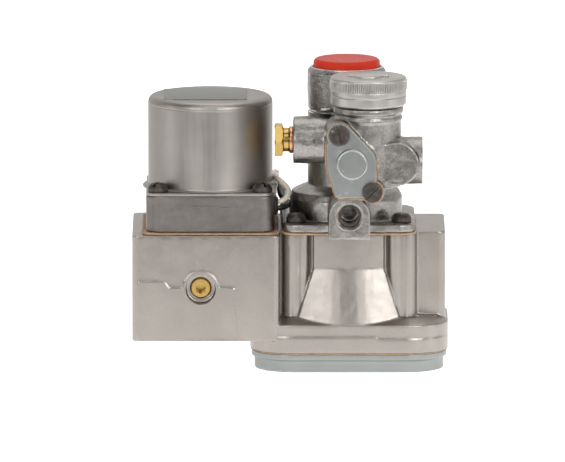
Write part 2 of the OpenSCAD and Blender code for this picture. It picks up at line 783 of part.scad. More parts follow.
module solenoid_cover_screws() {
    color(black_oxide) at_corners(sol_x, sol_pitch)
        translate([0, 0, can_foot_z]) rotate(65) round_head_screw(4.7, 4.4, 32);
}

// Plain foil plate on top of the can
module nameplate() {
    color([0.7, 0.7, 0.68])
        round_block(sol_x - 21.6, sol_x + 17, axis_y - 16, axis_y + 16, 1, can_top, can_top + 0.3);
}

module coil_bobbin() {
    z0 = can_foot_z + 0.3;
    color([0.85, 0.8, 0.65]) difference() {
        union() {
            cyl_z(z0, z0 + 1.6, sol_x, axis_y, 24);
            cyl_z(z0, 119, sol_x, axis_y, 10);
            cyl_z(117.4, 119, sol_x, axis_y, 24);
        }
        cyl_z(z0 - 1, 120, sol_x, axis_y, tube_r + 0.1);
    }
}

module coil_winding() {
    color([0.72, 0.4, 0.2]) difference() {
        cyl_z(can_foot_z + 1.9, 117.4, sol_x, axis_y, 23);
        cyl_z(can_foot_z + 1, 118, sol_x, axis_y, 10);
    }
}

module flux_washer() {
    color(steel) difference() {
        cyl_z(119, 121, sol_x, axis_y, 27);
        cyl_z(118, 122, sol_x, axis_y, tube_r + 0.1);
    }
}

module armature_tube() {
    color(brass) difference() {
        cyl_z(deck_z, 106, sol_x, axis_y, tube_r);
        cyl_z(deck_z - 1, 107, sol_x, axis_y, tube_in_r);
    }
}

module solenoid_stop() {
    color(steel) {
        cyl_z(104, 106, sol_x, axis_y, tube_in_r);
        cyl_z(106, 122.5, sol_x, axis_y, tube_r);
    }
}

module plunger() {
    color(steel) {
        cyl_z(72, 104 - plunger_travel - 0.3, sol_x, axis_y, tube_in_r - 0.05);
        cyl_z(50.3, 72, sol_x, axis_y, stem_r);
    }
}

module valve_disc() {
    color([0.15, 0.15, 0.15]) cyl_z(seat_z1 + 0.3, 50.3, sol_x, axis_y, 13);
}

module plunger_spring() {
    color(spring_steel) helix(sol_x, axis_y, 9.4, 0.6, 51, deck_z - 0.8, 4);
}

// ---- lead wires ----

module lead_bushing() {
    color([0.1, 0.1, 0.1]) difference() {
        union() {
            cyl_x(-12, -6.4, bushing_y, bushing_axis_z, 3.4);
            cyl_x(-7.35, -6.4, bushing_y, bushing_axis_z, 4.6);
            cyl_x(-6.4, -5.6, bushing_y, bushing_axis_z, 4);
        }
        cyl_x(-13, -1, bushing_y, bushing_axis_z, 2.85);
    }
}

module lead_coil(xy) {
    translate([xy[0], xy[1], 0]) rotate_extrude()
        translate([coil_mid_r - coil_half_w, 0]) square([2 * coil_half_w, coil_h]);
}

// Strap round one side of a coil
module lead_tie(xy) {
    translate([xy[0], xy[1] + coil_mid_r, 0]) difference() {
        box(-1.6, 1.6, -coil_half_w - 0.6, coil_half_w + 0.6, 0, coil_h + 0.6);
        translate([0, -coil_mid_r, 0]) rotate_extrude()
            translate([coil_mid_r - coil_half_w, -1]) square([2 * coil_half_w, coil_h + 1]);
    }
}

module lead_white() { color([0.93, 0.9, 0.82]) tube(white_route, lead_r); }

module lead_white_coil() { color([0.93, 0.9, 0.82]) lead_coil(white_coil_xy); }

module lead_white_tie() { color([0.15, 0.15, 0.15]) lead_tie(white_coil_xy); }

module lead_black() { color([0.1, 0.1, 0.1]) tube(black_route, lead_r); }

module lead_black_coil() { color([0.1, 0.1, 0.1]) lead_coil(black_coil_xy); }

module lead_black_tie() { color([0.15, 0.15, 0.15]) lead_tie(black_coil_xy); }

main_body();
tap_plug();
bottom_gasket();
bottom_cover();
bottom_cover_screws();
magnet_core();
magnet_coil();
thermocouple_bushing();
bonnet_gasket();
bonnet();
bonnet_screws();
stem_seal();
reset_housing();
retaining_clip();
reset_button();
reset_stem();
interrupter_disc();
reset_spring();
safety_disc();
safety_armature();
safety_spring();
brass_plug();
filter_gasket();
filter_cover();
filter_cover_screws();
pilot_filter();
cock_knob();
cock_plug();
cock_spring();
solenoid_gasket();
solenoid_base();
solenoid_cover();
solenoid_cover_screws();
nameplate();
coil_bobbin();
coil_winding();
flux_washer();
armature_tube();
solenoid_stop();
plunger();
valve_disc();
plunger_spring();
lead_bushing();
lead_white();
lead_white_coil();
lead_white_tie();
lead_black();
lead_black_coil();
lead_black_tie();
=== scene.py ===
"""Looks of the gas valve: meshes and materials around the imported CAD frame."""
import json
import math

import bmesh
import bpy
from mathutils import Matrix, Vector, noise


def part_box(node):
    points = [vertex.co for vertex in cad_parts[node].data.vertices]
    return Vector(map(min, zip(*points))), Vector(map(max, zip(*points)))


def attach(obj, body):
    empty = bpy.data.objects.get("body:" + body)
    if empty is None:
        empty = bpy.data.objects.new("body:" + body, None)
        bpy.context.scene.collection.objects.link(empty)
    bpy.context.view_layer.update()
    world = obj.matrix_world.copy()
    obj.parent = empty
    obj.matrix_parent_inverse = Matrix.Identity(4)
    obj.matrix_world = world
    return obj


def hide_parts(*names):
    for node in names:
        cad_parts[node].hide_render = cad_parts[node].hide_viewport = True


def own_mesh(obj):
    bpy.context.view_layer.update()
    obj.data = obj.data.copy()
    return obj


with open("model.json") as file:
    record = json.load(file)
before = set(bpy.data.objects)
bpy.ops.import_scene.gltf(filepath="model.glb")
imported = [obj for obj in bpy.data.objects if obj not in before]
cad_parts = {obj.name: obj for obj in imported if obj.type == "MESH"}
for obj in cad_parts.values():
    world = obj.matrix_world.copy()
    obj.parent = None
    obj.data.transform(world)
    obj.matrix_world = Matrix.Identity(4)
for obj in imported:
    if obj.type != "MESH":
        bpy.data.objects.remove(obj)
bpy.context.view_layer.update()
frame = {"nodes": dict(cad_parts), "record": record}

MM = 0.001
MM_SCALE = Matrix.Scale(MM, 4)
SLOT_OF = {s["node"]: s["material_slot"] for s in frame["record"]["subparts"]}

# ---- camera ----

LOOK_AT = Vector((-3.6, 11.6, 61)) * MM
LOOK_DOWN = math.radians(9.1)
DISTANCE = 8.0

camera = bpy.data.objects.new("camera", bpy.data.cameras.new("camera"))
bpy.context.scene.collection.objects.link(camera)
camera.location = LOOK_AT + DISTANCE * Vector((0, -math.cos(LOOK_DOWN), math.sin(LOOK_DOWN)))
camera.rotation_euler = (math.pi / 2 - LOOK_DOWN, 0, 0)
camera.data.sensor_width = 36
camera.data.lens = 1096
camera.data.clip_end = 40
bpy.context.scene.camera = camera


# ---- materials ----


class Paint:
    """A node material around one Principled shader, in the object's own metres."""

    def __init__(self, name, metallic, roughness, ior=1.5, coat=0.0):
        self.material = bpy.data.materials.new(name)
        self.material.use_nodes = True
        self.tree = self.material.node_tree
        self.shader = self.tree.nodes["Principled BSDF"]
        self.shader.inputs["Metallic"].default_value = metallic
        self.shader.inputs["Roughness"].default_value = roughness
        self.shader.inputs["IOR"].default_value = ior
        self.shader.inputs["Coat Weight"].default_value = coat
        self.shader.inputs["Coat Roughness"].default_value = 0.1
        self.coordinates = self.tree.nodes.new("ShaderNodeTexCoord").outputs["Object"]

    def node(self, kind, **values):
        made = self.tree.nodes.new(kind)
        for key, value in values.items():
            setattr(made, key, value)
        return made

    def link(self, output, socket):
        self.tree.links.new(output, socket)

    def stretched(self, scale):
        """The object's coordinates, stretched by a scale along each axis."""
        mapping = self.node("ShaderNodeMapping")
        mapping.inputs["Scale"].default_value = scale
        self.link(self.coordinates, mapping.inputs["Vector"])
        return mapping.outputs["Vector"]

    def noise(self, size_mm, detail=3.0, roughness=0.55, vector=None):
        """Noise whose largest lumps are about size_mm across."""
        made = self.node("ShaderNodeTexNoise")
        made.inputs["Scale"].default_value = 1 / (size_mm * MM)
        made.inputs["Detail"].default_value = detail
        made.inputs["Roughness"].default_value = roughness
        self.link(vector or self.coordinates, made.inputs["Vector"])
        return made.outputs["Fac"]

    def ramp(self, value, stops):
        """Maps a value through (position, grey or colour) stops."""
        made = self.node("ShaderNodeValToRGB")
        elements = made.color_ramp.elements
        while len(elements) < len(stops):
            elements.new(0.5)
        for element, (position, colour) in zip(elements, stops):
            element.position = position
            if not isinstance(colour, (tuple, list)):
                colour = (colour, colour, colour)
            element.color = (*colour, 1)
        self.link(value, made.inputs["Fac"])
        return made.outputs["Color"]

    def mix(self, factor, a, b, blend="MIX"):
        """Mixes two colours; each is a socket or a tuple, and so is the factor."""
        made = self.node("ShaderNodeMix", data_type="RGBA", blend_type=blend)
        for socket, value in ((made.inputs[0], factor), (made.inputs[6], a), (made.inputs[7], b)):
            if isinstance(value, bpy.types.NodeSocket):
                self.link(value, socket)
            elif isinstance(value, (int, float)):
                socket.default_value = value
            else:
                socket.default_value = (*value, 1)
        return made.outputs[2]

    def add(self, a, b, weight):
        """a + weight * b"""
        made = self.node("ShaderNodeMath", operation="MULTIPLY_ADD")
        self.link(b, made.inputs[0])
        made.inputs[1].default_value = weight
        self.link(a, made.inputs[2])
        return made.outputs[0]

    def colour(self, socket):
        self.link(socket, self.shader.inputs["Base Color"])

    def roughness(self, value, low, high):
        """Roughness from low to high as a noise value goes from 0.3 to 0.7."""
        made = self.node("ShaderNodeMapRange")
        for name, number in (("From Min", 0.3), ("From Max", 0.7), ("To Min", low), ("To Max", high)):
            made.inputs[name].default_value = number
        self.link(value, made.inputs["Value"])
        self.link(made.outputs["Result"], self.shader.inputs["Roughness"])

    def bump(self, height, depth_mm, strength=1.0):
        made = self.node("ShaderNodeBump")
        made.inputs["Strength"].default_value = strength
        made.inputs["Distance"].default_value = depth_mm * MM
        self.link(height, made.inputs["Height"])
        self.link(made.outputs["Normal"], self.shader.inputs["Normal"])

    def edge_wear_and_highlight(self, base, worn_and_lit_edge, low=0.52, high=0.6):
        """base where the surface is flat or hollow, the edge colour along its outer edges: painted
        highlight on the castings, wear on the screws.
        """
        geometry = self.node("ShaderNodeNewGeometry")
        return self.mix(self.ramp(geometry.outputs["Pointiness"], [(low, 0.0), (high, 1.0)]), base, worn_and_lit_edge)


def scaled(colour, factor):
    return tuple(min(1.0, c * factor) for c in colour)


def cast_metal(name, colour, rough, grain_mm, depth_mm, mottle=0.1, dirt=0.25, worn_and_lit_edge=1.25):
    """Die-cast metal: fine sandy grain, cloudy tone, dull hollows, and outer edges lighter as a painted
    highlight.
    """
    paint = Paint(name, metallic=1.0, roughness=rough)
    cloud = paint.noise(14, detail=4)
    grain = paint.noise(grain_mm, detail=5, roughness=0.65)
    tone = paint.ramp(cloud, [(0.32, scaled(colour, 1 - mottle)), (0.68, scaled(colour, 1 + mottle))])
    speck = paint.ramp(grain, [(0.35, 1 - 0.35 * dirt), (0.62, 1.0)])
    tone = paint.mix(1.0, tone, speck, blend="MULTIPLY")
    # Outer edges lighter than the rest: painted highlight.
    if worn_and_lit_edge:
        tone = paint.edge_wear_and_highlight(tone, scaled(colour, worn_and_lit_edge))
    paint.colour(tone)
    paint.roughness(paint.noise(3.5, detail=4), rough - 0.03, rough + 0.05)
    paint.bump(grain, depth_mm, 0.6)
    return paint.material


def turned_metal(name, colour, rough, depth_mm=0.02):
    """Machined metal: fine rings and light smears."""
    paint = Paint(name, metallic=1.0, roughness=rough)
    fine = paint.noise(0.35, detail=2, vector=paint.stretched((0.25, 0.25, 1)))
    smear = paint.noise(6, detail=4)
    paint.colour(paint.ramp(smear, [(0.3, scaled(colour, 0.88)), (0.7, scaled(colour, 1.08))]))
    paint.roughness(smear, rough - 0.05, rough + 0.08)
    paint.bump(fine, depth_mm, 0.35)
    return paint.material


def drawn_can(name, colour, rough):
    """Deep-drawn steel: upright draw marks and soft clouds."""
    paint = Paint(name, metallic=1.0, roughness=rough)
    marks = paint.noise(1.1, detail=4, roughness=0.6, vector=paint.stretched((1, 1, 0.04)))
    fine = paint.noise(0.3, detail=2)
    cloud = paint.noise(16, detail=3)
    tone = paint.ramp(cloud, [(0.3, scaled(colour, 0.92)), (0.7, scaled(colour, 1.06))])
    tone = paint.mix(1.0, tone, paint.ramp(marks, [(0.3, 0.94), (0.7, 1.0)]), blend="MULTIPLY")
    paint.colour(tone)
    paint.roughness(marks, rough - 0.02, rough + 0.05)
    paint.bump(paint.add(fine, marks, 0.25), 0.012, 0.35)
    return paint.material


def black_oxide(name, colour):
    """Oiled black oxide on a screw: dark, with brown wear on its edges."""
    paint = Paint(name, metallic=0.85, roughness=0.42)
    cloud = paint.noise(2.2, detail=4)
    tone = paint.ramp(cloud, [(0.3, scaled(colour, 0.7)), (0.7, scaled(colour, 1.3))])
    paint.colour(paint.edge_wear_and_highlight(tone, (0.30, 0.26, 0.23)))
    paint.roughness(cloud, 0.34, 0.55)
    paint.bump(paint.noise(0.4, detail=4), 0.04, 0.5)
    return paint.material


def fibre(name, colour):
    """Pressed gasket fibre, seen mostly on its cut edge."""
    paint = Paint(name, metallic=0.0, roughness=0.85)
    layers = paint.noise(0.9, detail=5, roughness=0.7, vector=paint.stretched((0.35, 0.35, 2.5)))
    flecks = paint.noise(0.5, detail=3)
    tone = paint.ramp(layers, [(0.3, scaled(colour, 0.55)), (0.5, colour), (0.72, scaled(colour, 1.5))])
    paint.colour(paint.mix(1.0, tone, paint.ramp(flecks, [(0.35, 0.8), (0.6, 1.0)]), blend="MULTIPLY"))
    paint.bump(layers, 0.12, 0.8)
    return paint.material


def plastic(name, colour, rough, grain_mm=0.5, depth_mm=0.01, vary=0.06, shine=0.5):
    paint = Paint(name, metallic=0.0, roughness=rough)
    paint.shader.inputs["Specular IOR Level"].default_value = shine
    cloud = paint.noise(9, detail=3)
    paint.colour(paint.ramp(cloud, [(0.3, scaled(colour, 1 - vary)), (0.7, scaled(colour, 1 + vary))]))
    paint.roughness(paint.noise(2.5, detail=4), rough - 0.04, rough + 0.06)
    paint.bump(paint.noise(grain_mm, detail=3), depth_mm, 0.4)
    return paint.material


def winding(name, colour):
    """Enamelled wire wound side by side."""
    paint = Paint(name, metallic=0.6, roughness=0.35, coat=0.4)
    wave = paint.node("ShaderNodeTexWave", bands_direction="Z")
    wave.inputs["Scale"].default_value = 314
    wave.inputs["Distortion"].default_value = 0.4
    paint.link(paint.coordinates, wave.inputs["Vector"])
    # The colour darkens between the turns: painted shade in the crevices between the wires.
    paint.colour(paint.ramp(wave.outputs["Fac"], [(0.1, scaled(colour, 0.4)), (0.6, colour)]))
    paint.bump(wave.outputs["Fac"], 0.2, 0.8)
    return paint.material


def felt(name, colour):
    paint = Paint(name, metallic=0.0, roughness=0.95)
    hairs = paint.noise(0.5, detail=6, roughness=0.75)
    paint.colour(paint.ramp(hairs, [(0.3, scaled(colour, 0.6)), (0.7, colour)]))
    paint.bump(hairs, 0.3, 0.9)
    return paint.material


BODY_GREY = (0.375, 0.343, 0.315)

MATERIALS = {
    "cast_body": cast_metal("cast_body", BODY_GREY, 0.33, 0.6, 0.03, mottle=0.05),
    "cast_bonnet": cast_metal("cast_bonnet", (0.37, 0.352, 0.333), 0.33, 0.9, 0.13, mottle=0.22,
                              dirt=0.9),
    "base_metal": cast_metal("base_metal", (0.22, 0.20, 0.19), 0.40, 0.7, 0.05, mottle=0.14),
    "zinc": cast_metal("zinc", (0.32, 0.335, 0.325), 0.42, 0.4, 0.015, mottle=0.05, dirt=0.15),
    "can_steel": drawn_can("can_steel", (0.37, 0.345, 0.32), 0.40),
    "knob_metal": cast_metal("knob_metal", (0.50, 0.485, 0.455), 0.40, 0.6, 0.03, mottle=0.08),
    "screw_black": black_oxide("screw_black", (0.085, 0.074, 0.067)),
    "steel": turned_metal("steel", (0.58, 0.57, 0.55), 0.28),
    "soft_iron": turned_metal("soft_iron", (0.42, 0.41, 0.40), 0.38),
    "spring_steel": turned_metal("spring_steel", (0.72, 0.71, 0.69), 0.2),
    "brass": turned_metal("brass", (0.50, 0.34, 0.11), 0.24),
    "copper": winding("copper", (0.62, 0.27, 0.11)),
    "gasket": fibre("gasket", (0.46, 0.30, 0.18)),
    "seal_rubber": plastic("seal_rubber", (0.035, 0.035, 0.035), 0.6, grain_mm=0.6, depth_mm=0.03),
    "bushing_rubber": plastic("bushing_rubber", (0.02, 0.02, 0.02), 0.42, grain_mm=0.8, depth_mm=0.03),
    "button_red": plastic("button_red", (0.58, 0.04, 0.02), 0.3, grain_mm=3.5, shine=0.05),
    "bobbin_plastic": plastic("bobbin_plastic", (0.72, 0.66, 0.48), 0.5, depth_mm=0.03),
    "filter_felt": felt("filter_felt", (0.70, 0.67, 0.58)),
    "foil": turned_metal("foil", (0.27, 0.275, 0.265), 0.45),
    "lead_white": plastic("lead_white", (0.90, 0.84, 0.68), 0.4, depth_mm=0.02),
    "lead_black": plastic("lead_black", (0.018, 0.018, 0.018), 0.36, depth_mm=0.02),
    "tie_plastic": plastic("tie_plastic", (0.05, 0.05, 0.05), 0.5, depth_mm=0.02),
}

for node_name, node_object in frame["nodes"].items():
    node_object.data.materials.clear()
    node_object.data.materials.append(MATERIALS[SLOT_OF[node_name]])


# ---- stage ----


def stage_mesh(name, corners, material):
    mesh = bpy.data.meshes.new(name)
    mesh.from_pydata(corners, [], [range(len(corners))])
    made = bpy.data.objects.new(name, mesh)
    bpy.context.scene.collection.objects.link(made)
    mesh.materials.append(material)
    return made


def area_light(name, place, aim, size, power):
    light = bpy.data.objects.new(name, bpy.data.lights.new(name, "AREA"))
    bpy.context.scene.collection.objects.link(light)
    light.data.shape = "RECTANGLE"
    light.data.size, light.data.size_y = size
    light.data.energy = power
    light.location = place
    light.rotation_euler = (Vector(aim) - Vector(place)).to_track_quat("-Z", "Y").to_euler()
    return light


floor_paint = Paint("floor_paint", metallic=0.0, roughness=0.9)
floor_paint.shader.inputs["Emission Color"].default_value = (1, 1, 1, 1)
# The pale sweep is painted light: it glows under and behind the object and its glow fades out in front
# of it and to its sides; its colour turns dark in front of it as painted shade
spot = floor_paint.node("ShaderNodeSeparateXYZ")
floor_paint.link(floor_paint.coordinates, spot.inputs["Vector"])
aside = floor_paint.node("ShaderNodeMath", operation="ABSOLUTE")
floor_paint.link(spot.outputs["X"], aside.inputs[0])


def fade(value, near, far, low, high):
    made = floor_paint.node("ShaderNodeMapRange")
    for name, number in (("From Min", near), ("From Max", far), ("To Min", low), ("To Max", high)):
        made.inputs[name].default_value = number
    floor_paint.link(value, made.inputs["Value"])
    return made.outputs["Result"]


pale = floor_paint.ramp(floor_paint.noise(400), [(0.3, 0.86), (0.7, 0.88)])
paleness = fade(spot.outputs["Y"], -0.55, -0.28, 0.0, 1.0)
floor_paint.colour(floor_paint.mix(paleness, (0.1, 0.1, 0.1), pale))
glow = floor_paint.node("ShaderNodeMath", operation="MULTIPLY")
floor_paint.link(fade(spot.outputs["Y"], -0.5, -0.2, 0.0, 0.85), glow.inputs[0])
floor_paint.link(fade(aside.outputs[0], 0.2, 0.6, 1.0, 0.3), glow.inputs[1])
floor_paint.link(glow.outputs[0], floor_paint.shader.inputs["Emission Strength"])
stage_mesh("floor", [(-8, -8, 0), (8, -8, 0), (8, 12, 0), (-8, 12, 0)], floor_paint.material)

area_light("front_left", (-0.74, -1.45, 0.56), (0, 0, 0.07), (0.95, 0.5), 6.6)
area_light("front_right", (0.81, -1.41, 0.57), (0, 0, 0.07), (0.95, 0.5), 9.6)
area_light("front_high", (0.0, -0.95, 1.25), (0, 0, 0.07), (1.3, 0.5), 4)
area_light("side_left", (-1.5, -0.35, 0.30), (0, 0, 0.07), (0.5, 0.8), 2.4)
area_light("side_right", (1.4, -0.40, 0.30), (0, 0, 0.07), (0.4, 0.7), 2.0)
area_light("top", (0.1, 0.2, 1.5), (0, 0, 0.05), (1.6, 1.0), 7)


def studio_world():
    """Pale behind the object and dim in front of it."""
    world = bpy.data.worlds.new("studio")
    world.use_nodes = True
    tree = world.node_tree
    direction = tree.nodes.new("ShaderNodeTexCoord")
    split = tree.nodes.new("ShaderNodeSeparateXYZ")
    tree.links.new(direction.outputs["Generated"], split.inputs["Vector"])
    ramp = tree.nodes.new("ShaderNodeMapRange")
    for name, number in (("From Min", -0.25), ("From Max", 0.6), ("To Min", 0.07), ("To Max", 0.8)):
        ramp.inputs[name].default_value = number
    tree.links.new(split.outputs["Y"], ramp.inputs["Value"])
    tree.nodes["Background"].inputs["Color"].default_value = (1.0, 0.985, 0.965, 1)
    tree.links.new(ramp.outputs["Result"], tree.nodes["Background"].inputs["Strength"])
    return world


bpy.context.scene.world = studio_world()
bpy.context.scene.view_settings.view_transform = "Standard"

# ---- mesh tools ----


def link(made, slot, body):
    """Puts a new object in the scene, with its slot's material, on a body."""
    if made.name not in bpy.context.scene.collection.objects:
        bpy.context.scene.collection.objects.link(made)
    made.data.materials.clear()
    made.data.materials.append(MATERIALS[slot])
    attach(made, body)
    return made


def mesh_piece(name, mesh, slot, body, *nodes):
    """Links a finished mesh as a piece on a body, standing for CAD nodes."""
    made = bpy.data.objects.new(name, mesh)
    made = link(made, slot, body)
    if nodes:
        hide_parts(*nodes)
    return made


def to_mesh(name, bm, sharp=32):
    bmesh.ops.recalc_face_normals(bm, faces=bm.faces)
    mesh = bpy.data.meshes.new(name)
    bm.to_mesh(mesh)
    bm.free()
    mesh.shade_smooth()
    mesh.set_sharp_from_angle(angle=math.radians(sharp))
    return mesh


def filleted(corners, closed=False, segments=5):
    """A path through corners (a, b, radius), each corner rounded by its radius."""
    path = []
    last = len(corners) - 1
    for i, (a, b, radius) in enumerate(corners):
        here = Vector((a, b))
        if radius == 0 or (not closed and i in (0, last)):
            path.append((a, b))
            continue
        before = (Vector(corners[i - 1][:2]) - here).normalized()
        after = (Vector(corners[(i + 1) % (last + 1)][:2]) - here).normalized()
        half = before.angle(after) / 2
        middle = here + (before + after).normalized() * radius / math.sin(half)
        v0 = here + before * radius / math.tan(half) - middle
        v1 = here + after * radius / math.tan(half) - middle
        sweep = v0.angle(v1)
        for k in range(segments + 1):
            t = k / segments
            point = (v0 * math.sin((1 - t) * sweep) + v1 * math.sin(t * sweep)) / math.sin(sweep)
            path.append(tuple(middle + point))
    return path


def lathe(profile, steps=96, closed=False, ripple=None):
    """Turns a (radius, height) profile about Z; ripple(height, step) adds to the radius."""
    bm = bmesh.new()
    rings = []
    for r, h in profile:
        if r < 1e-6:
            rings.append([bm.verts.new((0, 0, h))])
            continue
        ring = []
        for k in range(steps):
            angle = 2 * math.pi * k / steps
            radius = r + (ripple(h, k) if ripple else 0)
            ring.append(bm.verts.new((radius * math.cos(angle), radius * math.sin(angle), h)))
        rings.append(ring)
    pairs = list(zip(rings, rings[1:])) + ([(rings[-1], rings[0])] if closed else [])
    for low, high in pairs:
        for k in range(steps):
            k2 = (k + 1) % steps
            if len(low) == 1 and len(high) == 1:
                continue
            if len(low) == 1:
                bm.faces.new((low[0], high[k2], high[k]))
            elif len(high) == 1:
                bm.faces.new((low[k], low[k2], high[0]))
            else:
                bm.faces.new((low[k], low[k2], high[k2], high[k]))
    return bm


def plate(outline, z0, z1, edge, segments=4, wobble=0.0, seed=0.0):
    """A flat plate with rounded edges; wobble makes its cut edge uneven, in mm."""
    bm = bmesh.new()
    points = [Vector(p) for p in outline]
    count = len(points)
    turn = sum(a.x * b.y - b.x * a.y for a, b in zip(points, points[1:] + points[:1]))
    outward = []
    for i in range(count):
        along = (points[(i + 1) % count] - points[i - 1]).normalized()
        outward.append(Vector((along.y, -along.x)) * (1 if turn > 0 else -1))
    layers = []
    for k in range(segments + 1):
        angle = math.pi / 2 * k / segments
        layers.append((edge * (math.sin(angle) - 1), z0 + edge * (1 - math.cos(angle))))
    for k in range(segments + 1):
        angle = math.pi / 2 * k / segments
        layers.append((edge * (math.cos(angle) - 1), z1 - edge * (1 - math.sin(angle))))
    rings = []
    for offset, z in layers:
        ring = []
        for point, out in zip(points, outward):
            uneven = wobble * noise.noise(Vector((point.x * 0.7, point.y * 0.7, seed)))
            spot = point + out * (offset + uneven)
            ring.append(bm.verts.new((spot.x, spot.y, z)))
        rings.append(ring)
    for low, high in zip(rings, rings[1:]):
        for k in range(count):
            k2 = (k + 1) % count
            bm.faces.new((low[k], low[k2], high[k2], high[k]))
    bm.faces.new(list(reversed(rings[0])))
    bm.faces.new(rings[-1])
    bmesh.ops.triangulate(bm, faces=[f for f in bm.faces if len(f.verts) > 4])
    return bm


def tube(points, radius, sides=10, taper=None):
    """A round tube along points, with closed ends; taper(t) scales the radius."""
    bm = bmesh.new()
    rings = []
    side = None
    count = len(points)
    for i, point in enumerate(points):
        along = (points[min(i + 1, count - 1)] - points[max(i - 1, 0)]).normalized()
        guess = side or (Vector((1, 0, 0)) if abs(along.z) > 0.8 else Vector((0, 0, 1)))
        side = (guess - along * guess.dot(along)).normalized()
        other = along.cross(side)
        size = radius * (taper(i / (count - 1)) if taper else 1)
        rings.append([
            bm.verts.new(point + size * (side * math.cos(a) + other * math.sin(a)))
            for a in (2 * math.pi * k / sides for k in range(sides))
        ])
    for low, high in zip(rings, rings[1:]):
        for k in range(sides):
            k2 = (k + 1) % sides
            bm.faces.new((low[k], low[k2], high[k2], high[k]))
    bm.faces.new(list(reversed(rings[0])))
    bm.faces.new(rings[-1])
    return bm


def joined(*parts):
    """One bmesh from several, each freed."""
    whole = bmesh.new()
    for part in parts:
        mesh = bpy.data.meshes.new("part")
        part.to_mesh(mesh)
        part.free()
        whole.from_mesh(mesh)
        bpy.data.meshes.remove(mesh)
    return whole


def copies(part, matrices):
    whole = bmesh.new()
    mesh = bpy.data.meshes.new("part")
    part.to_mesh(mesh)
    part.free()
    for matrix in matrices:
        copy = mesh.copy()
        copy.transform(matrix)
        whole.from_mesh(copy)
        bpy.data.meshes.remove(copy)
    bpy.data.meshes.remove(mesh)
    return whole


def place(bm, matrix):
    bm.transform(matrix)
    return bm


def at(x, y, z, toward="+Z", spin=0.0):
    """Millimetre piece space to the frame in metres: a local +Z turned to point toward an axis."""
    turns = {
        "+Z": Matrix(),
        "-Z": Matrix.Rotation(math.pi, 4, "X"),
        "+X": Matrix.Rotation(math.pi / 2, 4, "Y"),
        "-X": Matrix.Rotation(-math.pi / 2, 4, "Y"),
        "+Y": Matrix.Rotation(-math.pi / 2, 4, "X"),
        "-Y": Matrix.Rotation(math.pi / 2, 4, "X"),
    }
    place_at = Matrix.Translation(Vector((x, y, z)) * MM)
    return place_at @ turns[toward] @ Matrix.Rotation(math.radians(spin), 4, "Z") @ Matrix.Scale(MM, 4)


def evaluated(temp):
    """The mesh of a temporary object after its modifiers; the object is removed."""
    bpy.context.view_layer.update()
    graph = bpy.context.evaluated_depsgraph_get()
    mesh = bpy.data.meshes.new_from_object(temp.evaluated_get(graph))
    old = temp.data
    bpy.data.objects.remove(temp)
    bpy.data.meshes.remove(old)
    return mesh


def temporary(mesh):
    temp = bpy.data.objects.new("temporary", mesh)
    bpy.context.scene.collection.objects.link(temp)
    return temp


def without(bm, *cutters):
    """bm with closed cutters taken away from it."""
    mesh = bpy.data.meshes.new("whole")
    bm.to_mesh(mesh)
    bm.free()
    temp = temporary(mesh)
    tools = []
    for cutter in cutters:
        tool_mesh = bpy.data.meshes.new("tool")
        cutter.to_mesh(tool_mesh)
        cutter.free()
        tool = temporary(tool_mesh)
        tools.append(tool)
        modifier = temp.modifiers.new("cut", "BOOLEAN")
        modifier.operation = "DIFFERENCE"
        modifier.solver = "EXACT"
        modifier.object = tool
    result_mesh = evaluated(temp)
    for tool in tools:
        tool_mesh = tool.data
        bpy.data.objects.remove(tool)
        bpy.data.meshes.remove(tool_mesh)
    result = bmesh.new()
    result.from_mesh(result_mesh)
    bpy.data.meshes.remove(result_mesh)
    return result


def block(x0, x1, y0, y1, z0, z1):
    """A plain box, used only as a cutting tool."""
    bm = bmesh.new()
    bmesh.ops.create_cube(bm, size=1)
    bm.transform(
        Matrix.Translation(((x0 + x1) / 2, (y0 + y1) / 2, (z0 + z1) / 2))
        @ Matrix.Diagonal((x1 - x0, y1 - y0, z1 - z0, 1))
    )
    return bm


def softened(node, voxel, rounds, ratio=1.0, relief=None):
    """A CAD node's shape remeshed, with its edges rounded and relief(point, normal) added, in mm."""
    temp = temporary(frame["nodes"][node].data.copy())
    remesh = temp.modifiers.new("remesh", "REMESH")
    remesh.mode = "VOXEL"
    remesh.voxel_size = voxel * 1 * MM
    smooth = temp.modifiers.new("smooth", "SMOOTH")
    smooth.factor = 0.5
    smooth.iterations = rounds
    mesh = evaluated(temp)
    if relief:
        normals = [v.normal.copy() for v in mesh.vertices]
        for vertex, normal in zip(mesh.vertices, normals):
            vertex.co += normal * (relief(vertex.co / MM, normal) * MM)
    if ratio < 1:
        temp = temporary(mesh)
        temp.modifiers.new("fewer", "DECIMATE").ratio = ratio
        mesh = evaluated(temp)
    mesh.shade_smooth()
    return mesh


def wavy(waves, seed=0.0):
    """A relief made of noise waves, each (size, depth) in mm."""
    def relief(point, normal):
        return sum(
            depth * noise.noise(Vector((point.x / size + seed, point.y / size, point.z / size)))
            for size, depth in waves
        )
    return relief


def thread(r, length, pitch, depth=0.7, start=0.6):
    """A helical ridge standing inward from a bore of radius r, along Z from start to length."""
    bm = bmesh.new()
    per_turn = 48
    turns = (length - start) / pitch
    count = int(per_turn * turns)
    rings = []
    for i in range(count + 1):
        angle = 2 * math.pi * i / per_turn
        z = start + pitch * i / per_turn
        run_out = min(1, i / per_turn, (count - i) / per_turn)
        tip = r - depth * run_out
        ring = []
        for radius, dz in ((r + 0.15, -0.42 * pitch), (tip, -0.08 * pitch), (tip, 0.08 * pitch),
                           (r + 0.15, 0.42 * pitch)):
            ring.append(bm.verts.new((radius * math.cos(angle), radius * math.sin(angle), z + dz)))
        rings.append(ring)
    for low, high in zip(rings, rings[1:]):
        for k in range(4):
            k2 = (k + 1) % 4
            bm.faces.new((low[k], low[k2], high[k2], high[k]))
    bm.faces.new(list(reversed(rings[0])))
    bm.faces.new(rings[-1])
    return bm


